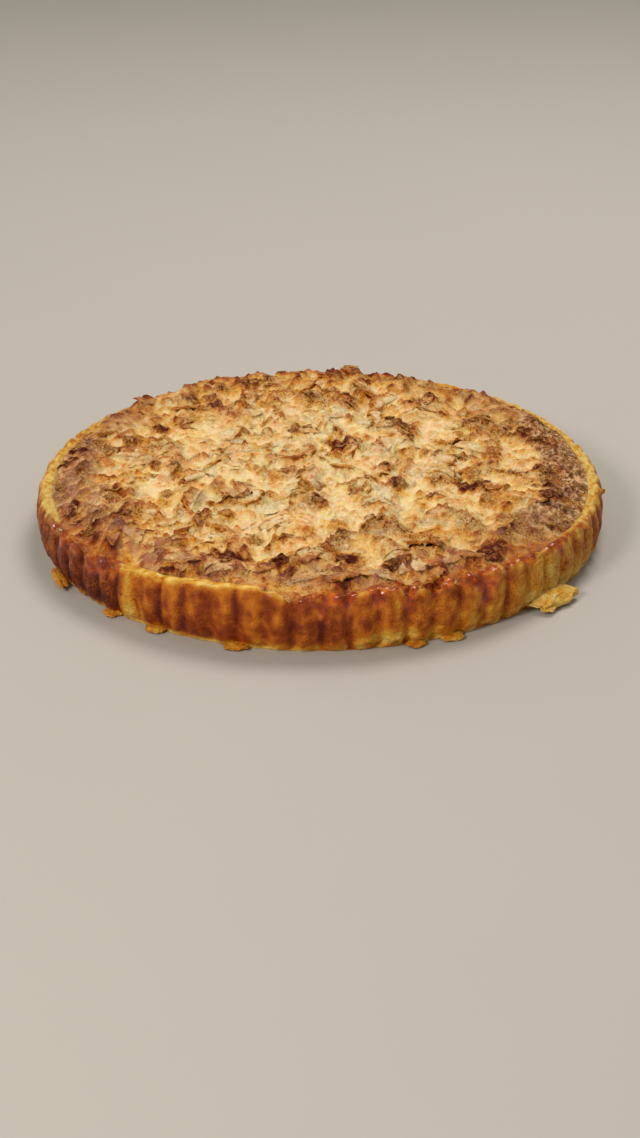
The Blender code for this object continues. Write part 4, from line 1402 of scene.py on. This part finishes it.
# %% Node helpers
def new_group(name, inputs, outputs):
    """An empty node group with named sockets, and its input and output nodes."""
    group = bpy.data.node_groups.new(name, "ShaderNodeTree")
    for label, kind, value in inputs:
        socket = group.interface.new_socket(name=label, in_out="INPUT", socket_type=kind)
        if value is not None:
            socket.default_value = value
    for label, kind in outputs:
        group.interface.new_socket(name=label, in_out="OUTPUT", socket_type=kind)
    return group, group.nodes.new("NodeGroupInput"), group.nodes.new("NodeGroupOutput")


def add_math(tree, operation, *values, clamp=False):
    """A Math node fed by sockets or plain numbers; returns its output socket."""
    node = tree.nodes.new("ShaderNodeMath")
    node.operation = operation
    node.use_clamp = clamp
    for socket, value in zip(node.inputs, values):
        if isinstance(value, (int, float)):
            socket.default_value = value
        else:
            tree.links.new(value, socket)
    return node.outputs[0]


def add_noise(tree, vector, scale, detail, roughness=0.5, distortion=0.0):
    """A Noise node; its output lies around 0.5."""
    node = tree.nodes.new("ShaderNodeTexNoise")
    node.inputs["Scale"].default_value = scale
    node.inputs["Detail"].default_value = detail
    node.inputs["Roughness"].default_value = roughness
    node.inputs["Distortion"].default_value = distortion
    tree.links.new(vector, node.inputs["Vector"])
    return node.outputs["Fac"]


def add_ramp(tree, fac, stops):
    """A colour ramp; stops is a list of (place, red, green, blue)."""
    node = tree.nodes.new("ShaderNodeValToRGB")
    ramp = node.color_ramp
    while len(ramp.elements) < len(stops):
        ramp.elements.new(0.5)
    for element, stop in zip(ramp.elements, stops):
        element.position = stop[0]
        element.color = (*stop[1:], 1)
    tree.links.new(fac, node.inputs["Fac"])
    return node.outputs["Color"]


def add_mix(tree, share, first, second, blend="MIX"):
    """A colour Mix node; share, first and second are sockets, numbers or colours."""
    node = tree.nodes.new("ShaderNodeMix")
    node.data_type = "RGBA"
    node.blend_type = blend
    sockets = (node.inputs[0], node.inputs[6], node.inputs[7])
    for socket, value in zip(sockets, (share, first, second)):
        if isinstance(value, bpy.types.NodeSocket):
            tree.links.new(value, socket)
        elif isinstance(value, (int, float)):
            socket.default_value = value
        else:
            socket.default_value = (*value, 1)
    return node.outputs[2]


def screen_colour(red, green, blue):
    """A colour as it looks on a screen, 0 to 255, turned into the linear light Blender works in."""
    parts = (value / 255 for value in (red, green, blue))
    return tuple(p / 12.92 if p <= 0.04045 else ((p + 0.055) / 1.055) ** 2.4 for p in parts)


def colour_stops(table):
    """Ramp stops from a table of (place, red, green, blue) with screen colours."""
    return [(place, *screen_colour(*colour)) for place, *colour in table]


print("cream in linear light:", np.round(screen_colour(243, 218, 164), 3).tolist())

# %% [markdown]
# Two effects are shared by the materials, so each is a node group with named sockets, built once. A
# group puts out only colours and numbers, and each material keeps its own shader. The first,
# `oven_colour`, turns a browning mark into the colours that custard and apple pass through in an
# oven, from cream over gold to burnt. One ramp is golden, for what stayed moist, and one is duller,
# for dried skin. The mix between them is partly painted light: dull lit tops against golden flanks
# in shade.

# %% Oven colours
MOIST_AND_SHADED_STOPS = ((0.00, 243, 218, 164), (0.14, 239, 206, 146), (0.30, 230, 183, 106),
               (0.46, 212, 150, 54), (0.62, 182, 104, 26), (0.80, 130, 52, 10), (1.00, 86, 26, 10))
DRIED_AND_LIT_STOPS = ((0.00, 244, 217, 178), (0.14, 237, 201, 156), (0.30, 224, 178, 126),
             (0.46, 202, 145, 90), (0.62, 166, 100, 54), (0.80, 118, 54, 28), (1.00, 82, 30, 18))


def oven_colour_group():
    """Baked colours, golden where moist and duller where dried, mixed partly as painted light: lit tops,
    shaded flanks.
    """
    group, source, sink = new_group(
        "oven_colour", [("Browning", "NodeSocketFloat", 0.3), ("Dried and lit", "NodeSocketFloat", 0.5)],
        [("Colour", "NodeSocketColor")])
    shades = [add_ramp(group, source.outputs["Browning"], colour_stops(table))
              for table in (MOIST_AND_SHADED_STOPS, DRIED_AND_LIT_STOPS)]
    colour = add_mix(group, source.outputs["Dried and lit"], *shades)
    group.links.new(colour, sink.inputs["Colour"])
    return group


oven_colour = oven_colour_group()
print("oven colours:", len(MOIST_AND_SHADED_STOPS), "moist and", len(DRIED_AND_LIT_STOPS), "dried_and_lit")

# %% [markdown]
# The second, `fine_grain`, is everything too small to model: mottling and a slow change of tint,
# crumb, pores, and thin ridges. A ridge is made by folding noise about its middle value: one thin
# line stays high and the rest falls away, which looks like crumpled skin and not like clouds. Crumb,
# crinkles and pores share one size. Object space keeps the grain in place when the tart is moved.

# %% Fine grain
TINT_SCALE = 130
FOLD_SCALE = 230
CRINKLE_SHARPNESS, FOLD_SHARPNESS, PORE_SHARPNESS = 5.0, 7.0, 2.2


def one_less(tree, value, times):
    """1 less a value multiplied, held between 0 and 1."""
    return add_math(tree, "SUBTRACT", 1.0, add_math(tree, "MULTIPLY", value, times), clamp=True)


def add_ridges(tree, fac, sharpness):
    """Thin ridges where noise is near 0.5."""
    away = add_math(tree, "ABSOLUTE", add_math(tree, "SUBTRACT", fac, 0.5))
    return one_less(tree, away, sharpness)


def fine_grain_group():
    """Mottling, crumb, crinkles, tint, pores and folds from noise in object space."""
    sizes = [("Mottle size", 400.0), ("Mottle detail", 3.0), ("Crumb size", 1200.0)]
    effects = ["Mottle", "Crumb", "Crinkle", "Tint", "Pores", "Folds"]
    group, source, sink = new_group(
        "fine_grain", [(label, "NodeSocketFloat", value) for label, value in sizes],
        [(label, "NodeSocketFloat") for label in effects])
    place = group.nodes.new("ShaderNodeTexCoord").outputs["Object"]
    mottle = add_noise(group, place, 1, 3.0, 0.6)
    group.links.new(source.outputs["Mottle size"], mottle.node.inputs["Scale"])
    group.links.new(source.outputs["Mottle detail"], mottle.node.inputs["Detail"])
    crumb = add_noise(group, place, 1, 2.0, 0.6)
    crinkle = add_noise(group, place, 1, 2.0, 0.5, 0.6)
    folded = add_noise(group, place, FOLD_SCALE, 3.0, 0.5, 1.2)
    pores = group.nodes.new("ShaderNodeTexVoronoi")
    group.links.new(place, pores.inputs["Vector"])
    for node in (crumb.node, crinkle.node, pores):
        group.links.new(source.outputs["Crumb size"], node.inputs["Scale"])
    results = (mottle, crumb, add_ridges(group, crinkle, CRINKLE_SHARPNESS),
               add_noise(group, place, TINT_SCALE, 3.0, 0.6),
               one_less(group, pores.outputs["Distance"], PORE_SHARPNESS),
               add_ridges(group, folded, FOLD_SHARPNESS))
    for label, result in zip(effects, results):
        group.links.new(result, sink.inputs[label])
    return group


fine_grain = fine_grain_group()
print("shader groups:", [group.name for group in bpy.data.node_groups])

# %% [markdown]
# A few more helpers serve both materials: a new material with its shader, a group put to use, a
# mark read from the mesh at a chosen strength, sums and products, a bump from a height, and the light
# that sinks into damp food. A mark is a number on each point, so it needs no picture and no unwrap.

# %% Material helpers
def new_material(name):
    """A material with nodes, its tree, and the Principled shader in it."""
    material = bpy.data.materials.new(name)
    material.use_nodes = True
    tree = material.node_tree
    return material, tree, tree.nodes["Principled BSDF"]


def add_group(tree, group, **values):
    """One use of a node group; a socket's name has _ for a space."""
    node = tree.nodes.new("ShaderNodeGroup")
    node.node_tree = group
    for label, value in values.items():
        node.inputs[label.replace("_", " ")].default_value = value
    return node


def read_mark(tree, name, strength=None):
    """A mark of the mesh, multiplied by a strength if one is given."""
    node = tree.nodes.new("ShaderNodeAttribute")
    node.attribute_name = name
    mark = node.outputs["Fac"]
    return mark if strength is None else add_math(tree, "MULTIPLY", mark, strength)


def add_up(tree, first, *others):
    """The sum of several sockets."""
    for other in others:
        first = add_math(tree, "ADD", first, other)
    return first


def multiply(tree, first, second):
    """The product of two sockets, or of a socket and a number."""
    return add_math(tree, "MULTIPLY", first, second)


def add_bump(tree, shader, height, distance):
    """Roughen the shader's normal by a height; distance is in millimetres."""
    bump = tree.nodes.new("ShaderNodeBump")
    bump.inputs["Strength"].default_value = 1.0
    bump.inputs["Distance"].default_value = distance * MM
    tree.links.new(height, bump.inputs["Height"])
    tree.links.new(bump.outputs["Normal"], shader.inputs["Normal"])


def set_glow(shader, weight, radius, scale):
    """Let light sink into the surface: red furthest, and scale millimetres at most."""
    shader.inputs["Subsurface Weight"].default_value = weight
    shader.inputs["Subsurface Radius"].default_value = radius
    shader.inputs["Subsurface Scale"].default_value = scale * MM


# %% [markdown]
# The filling's material is the same for custard, apple and burnt tips, because the oven treats them
# alike: only their marks differ. Browning is the mark plus mottling, crumb and a net of gritty
# crinkles, whose pale ridges partly stand as painted glints. Its colour comes from the oven colours,
# and the split between dull tops and golden flanks there is partly painted light. Over that, in this
# order, the hollows get a painted shade of deeper gold, a slow change of tint goes over everything,
# foam gets its own speckled colours, mauve and pores are mixed in, burnt spots go maroon to black,
# and syrup lies on top. It is damp, so it has a soft gloss. Light sinks into the thick custard; thin
# apple slices let less of it in, or they would look grey.

# %% The filling's material
BURNT = screen_colour(84, 20, 8)
MAUVE = screen_colour(172, 120, 98)
# Painted shade: the deeper gold that is multiplied over hollows and under slices.
HOLLOW_SHADE_TINT = screen_colour(236, 196, 124)
PORE_DARK = screen_colour(78, 48, 30)
SYRUP_STOPS = ((0.34, 212, 118, 32), (0.50, 164, 64, 14), (0.68, 100, 28, 6))
TINT_STOPS = ((0.34, 252, 252, 230), (0.50, 255, 255, 255), (0.66, 255, 244, 242))
FOAM_STOPS = ((0.40, 56, 28, 15), (0.47, 128, 86, 55), (0.54, 182, 140, 98), (0.63, 244, 210, 168))


def filling_colour(tree, grain, crumb):
    """The filling's colour: oven colours, then painted shade in hollows, tinted, foamy, mauve, burnt and
    syrupy spots.
    """
    mottle = add_math(tree, "MULTIPLY_ADD", grain["Mottle"], 0.5, -0.25)
    # Grit: a dark net of crumb, with pale crinkle ridges that are partly painted glints.
    grit_and_painted_glints = multiply(tree, add_math(tree, "SUBTRACT", 0.40, grain["Crinkle"]),
                        read_mark(tree, "grit", 0.65))
    browning = add_up(tree, read_mark(tree, "brown"), mottle, crumb, grit_and_painted_glints)
    baked = add_group(tree, oven_colour)
    tree.links.new(browning, baked.inputs["Browning"])
    # The dried-skin mark mixes the two ramps: partly dried skin, partly painted light, with dull lit tops
    # and golden shaded flanks.
    tree.links.new(read_mark(tree, "dried_and_lit"), baked.inputs["Dried and lit"])
    # Painted shade: hollows and the undersides of slices are multiplied by a deeper gold.
    colour = add_mix(tree, read_mark(tree, "hollow_shade", 0.9), baked.outputs["Colour"], HOLLOW_SHADE_TINT, "MULTIPLY")
    tint = add_ramp(tree, grain["Tint"], colour_stops(TINT_STOPS))
    colour = add_mix(tree, 1.0, colour, tint, "MULTIPLY")
    foamy = add_math(tree, "ADD", grain["Mottle"], multiply(tree, crumb, 0.8))
    foamy = add_ramp(tree, foamy, colour_stops(FOAM_STOPS))
    colour = add_mix(tree, read_mark(tree, "foam", 0.72), colour, foamy)
    colour = add_mix(tree, read_mark(tree, "mauve", 0.52), colour, MAUVE)
    speckle = multiply(tree, grain["Pores"], read_mark(tree, "foam", 0.5))
    colour = add_mix(tree, speckle, colour, PORE_DARK)
    burnt_share = add_math(tree, "ADD", read_mark(tree, "burn"), crumb, clamp=True)
    burnt_share = add_math(tree, "MULTIPLY", burnt_share, read_mark(tree, "burn"), clamp=True)
    colour = add_mix(tree, burnt_share, colour, BURNT)
    syrup = add_ramp(tree, grain["Mottle"], colour_stops(SYRUP_STOPS))
    return add_mix(tree, read_mark(tree, "juice", 0.75), colour, syrup)


def filling_height(tree, grain):
    """Fine height: crumb and mottling, folds, and crinkles that are stronger where it is gritty."""
    crinkles = multiply(tree, grain["Crinkle"],
                        add_math(tree, "MULTIPLY_ADD", read_mark(tree, "grit"), 0.5, 0.15))
    return add_up(tree, multiply(tree, grain["Crumb"], 0.5), grain["Mottle"], crinkles,
                  multiply(tree, grain["Folds"], 0.35))


def filling_material(name, subsurface, shine=0.13):
    """The filling's material; subsurface is how much light sinks in."""
    material, tree, shader = new_material(name)
    grain = add_group(tree, fine_grain, Mottle_size=420.0, Crumb_size=1100.0).outputs
    crumb = add_math(tree, "MULTIPLY_ADD", grain["Crumb"], 0.5, -0.25)
    tree.links.new(filling_colour(tree, grain, crumb), shader.inputs["Base Color"])
    roughness = add_math(tree, "MULTIPLY_ADD", grain["Crumb"], 0.40, 0.14)
    tree.links.new(roughness, shader.inputs["Roughness"])
    shader.inputs["Specular IOR Level"].default_value = shine
    set_glow(shader, subsurface, (1.0, 0.52, 0.18), 2.4)
    add_bump(tree, shader, filling_height(tree, grain), 1.4)
    return material


custard_material = filling_material("baked custard", 0.60)
apple_material = filling_material("baked apple", 0.25)
burnt_material = filling_material("burnt apple", 0.05, shine=0.16)
print("nodes in the custard's material:", len(custard_material.node_tree.nodes))

# %% [markdown]
# Pastry: the ribs are gold, the valleys between them darker, partly baked dark and partly painted
# shade in the grooves, and the juice glaze on top of both is dark red-brown and glossy as varnish.
# The glaze could be a second skin over the crust, but it is too thin to model, so the same shader
# turns into it where the juice mark is high: darker, smoother, and with a clear coat. How coarse the
# grain is comes from a mark, because the wall is smooth at the front and crumbly at the left.

# %% Pastry material
PASTRY_STOPS = ((0.00, 224, 190, 106), (0.20, 210, 156, 50), (0.40, 190, 106, 12),
                (0.58, 142, 60, 2), (0.78, 96, 28, 1), (1.00, 60, 13, 1))
JUICE_STOPS = ((0.36, 206, 108, 22), (0.50, 176, 70, 12), (0.64, 128, 42, 6))


def pastry_material():
    """Baked pastry that turns into a juice glaze where the juice mark is high."""
    material, tree, shader = new_material("baked shortcrust")
    grain = add_group(tree, fine_grain, Mottle_size=190.0, Mottle_detail=1.0,
                      Crumb_size=1000.0).outputs
    grained = read_mark(tree, "grain")
    mottle = add_math(tree, "MULTIPLY_ADD", grain["Mottle"], 0.4, -0.20)
    crumb = multiply(tree, add_math(tree, "SUBTRACT", grain["Crumb"], 0.5),
                     multiply(tree, grained, 0.5))
    speckled = multiply(tree, add_math(tree, "SUBTRACT", 0.40, grain["Crinkle"]),
                        multiply(tree, grained, 0.40))
    # The valley mark adds painted shade, and some real bake, in the grooves.
    browning = add_up(tree, read_mark(tree, "brown"), mottle, crumb, read_mark(tree, "valley", 0.24),
                      speckled)
    colour = add_ramp(tree, browning, colour_stops(PASTRY_STOPS))
    syrup = add_ramp(tree, grain["Mottle"], colour_stops(JUICE_STOPS))
    juice = add_math(tree, "MULTIPLY", read_mark(tree, "juice"), 0.95, clamp=True)
    tree.links.new(add_mix(tree, juice, colour, syrup), shader.inputs["Base Color"])
    roughness = add_math(tree, "MULTIPLY_ADD", juice, -0.32, 0.48)
    tree.links.new(roughness, shader.inputs["Roughness"])
    glaze = add_math(tree, "MULTIPLY_ADD", juice, 0.62, 0.06)
    tree.links.new(glaze, shader.inputs["Coat Weight"])
    shader.inputs["Coat Roughness"].default_value = 0.10
    shader.inputs["Specular IOR Level"].default_value = 0.20
    set_glow(shader, 0.20, (1.0, 0.45, 0.15), 1.4)
    grainy = add_math(tree, "ADD", grained, 0.35)
    height = add_up(tree, multiply(tree, grain["Crumb"], grainy), grain["Mottle"],
                    multiply(tree, grain["Crinkle"], multiply(tree, grained, 0.6)))
    add_bump(tree, shader, height, 1.1)
    return material


crust_material = pastry_material()
print("nodes in the pastry's material:", len(crust_material.node_tree.nodes))

# %% [markdown]
# Each piece gets its material and is told which body it moves with, and the solid that it replaces
# is hidden. The tart has no joints, so every piece rides on the one body, root. The four pieces of the
# filling replace its solid together.

# %% Dress the solids
for piece, material, slot, node in (
    (custard_piece, custard_material, "custard", "apple_filling"),
    (apple_piece, apple_material, "custard", "apple_filling"),
    (sliver_piece, apple_material, "custard", "apple_filling"),
    (tips_piece, burnt_material, "custard", "apple_filling"),
    (crust_piece, crust_material, "pastry", "pastry_case"),
    (scraps_piece, crust_material, "pastry", "pastry_case"),
):
    piece.data.materials.append(material)
    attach(piece, "root")
    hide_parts(node)
print("materials:", [material.name for material in bpy.data.materials])

# %% [markdown]
# The stage is a plain pale floor, so large that its edge lies outside the camera's view. Its colour
# varies a little, as any real table top does.

# %% Floor
FLOOR_COLOUR = screen_colour(174, 168, 159)
FLOOR_SIDE, FLOOR_FRONT, FLOOR_BACK = 4000, -3000, 6000
CLOUD_DARKNESS = 0.94


def make_floor():
    """A flat pale floor at the height of the tart's underside."""
    points = np.array([(-FLOOR_SIDE, FLOOR_FRONT, 0), (FLOOR_SIDE, FLOOR_FRONT, 0),
                       (FLOOR_SIDE, FLOOR_BACK, 0), (-FLOOR_SIDE, FLOOR_BACK, 0)], float)
    floor = make_piece("floor", points, [np.array([[0, 1, 2, 3]])], {})
    material, tree, shader = new_material("pale floor")
    place = tree.nodes.new("ShaderNodeTexCoord").outputs["Object"]
    cloud = add_noise(tree, place, 3.0, 4.0, 0.6)
    darker = tuple(CLOUD_DARKNESS * part for part in FLOOR_COLOUR)
    tree.links.new(add_mix(tree, cloud, FLOOR_COLOUR, darker), shader.inputs["Base Color"])
    shader.inputs["Roughness"].default_value = 0.7
    floor.data.materials.append(material)


make_floor()

# %% [markdown]
# Three lights and a dim world. The key is a wide window behind the tart and above it, to the right. A
# low one at the back left puts the small glints on wet juice, and a fill at the front left opens the
# shadows on the wall. Discs are used because a window's light is broad: a point would cut hard
# shadows. The world is dimmer for glossy rays, or the damp filling would mirror it as a grey veil.

# %% Light
DAYLIGHT = (1.0, 0.97, 0.93)
LIGHT_AIM = (0, 0, 0.02)
WORLD_COLOUR = (1.0, 0.96, 0.90)
WORLD_STRENGTH, GLOSSY_LOSS = 0.50, 0.42


def add_light(name, place, size, power):
    """A round area light at a place in metres, turned to the tart."""
    light = bpy.data.lights.new(name, "AREA")
    light.shape = "DISK"
    light.size = size
    light.energy = power
    light.color = DAYLIGHT
    lamp = bpy.data.objects.new(name, light)
    bpy.context.scene.collection.objects.link(lamp)
    lamp.location = place
    direction = np.array(LIGHT_AIM) - np.array(place)
    lamp.rotation_euler = (math.atan2(math.hypot(*direction[:2]), -direction[2]), 0,
                           math.atan2(direction[1], direction[0]) - TAU / 4)


def light_world():
    """Even light from all round, dimmer for glossy rays."""
    world = bpy.data.worlds.new("studio")
    bpy.context.scene.world = world
    world.use_nodes = True
    tree = world.node_tree
    backdrop = tree.nodes["Background"]
    backdrop.inputs["Color"].default_value = (*WORLD_COLOUR, 1)
    ray = tree.nodes.new("ShaderNodeLightPath")
    dimmed = add_math(tree, "MULTIPLY_ADD", ray.outputs["Is Glossy Ray"], -GLOSSY_LOSS, WORLD_STRENGTH)
    tree.links.new(dimmed, backdrop.inputs["Strength"])


add_light("window_key", (0.35, 0.65, 1.35), 0.7, 14)
add_light("low_window", (-1.15, 0.75, 0.5), 0.25, 2.4)
add_light("room_fill", (-0.7, -0.9, 0.8), 0.35, 10)
light_world()
bpy.context.scene.view_settings.view_transform = "Standard"
print("lights:", [light.name for light in bpy.data.lights])

# %% [markdown]
# The camera stands where the photographer stood: it looks down about 26 degrees, at a point a
# little in front of the tart's middle, with a lens long enough to keep the far rim nearly as wide as
# the near one.

# %% Camera
CAMERA_PLACE = (-0.0014, -0.7710, 0.3567)
CAMERA_PITCH = 26.25
CAMERA_YAW = 0.088
CAMERA_ROLL = -0.5
LENS = 60.17


def make_camera():
    """The camera, at the place and with the lens that were fitted to the photograph."""
    camera = bpy.data.cameras.new("photo_camera")
    camera.lens = LENS
    camera.sensor_width = 36
    camera.sensor_fit = "AUTO"
    camera.clip_end = 50
    holder = bpy.data.objects.new("photo_camera", camera)
    bpy.context.scene.collection.objects.link(holder)
    holder.location = CAMERA_PLACE
    turn = (math.radians(90 - CAMERA_PITCH), 0, math.radians(-CAMERA_YAW))
    holder.rotation_mode = "QUATERNION"
    roll = Matrix.Rotation(math.radians(CAMERA_ROLL), 3, "Z")
    holder.rotation_quaternion = (Euler(turn).to_matrix() @ roll).to_quaternion()
    bpy.context.scene.camera = holder


make_camera()
print("camera:", LENS, "mm lens,", CAMERA_PITCH, "degrees down")
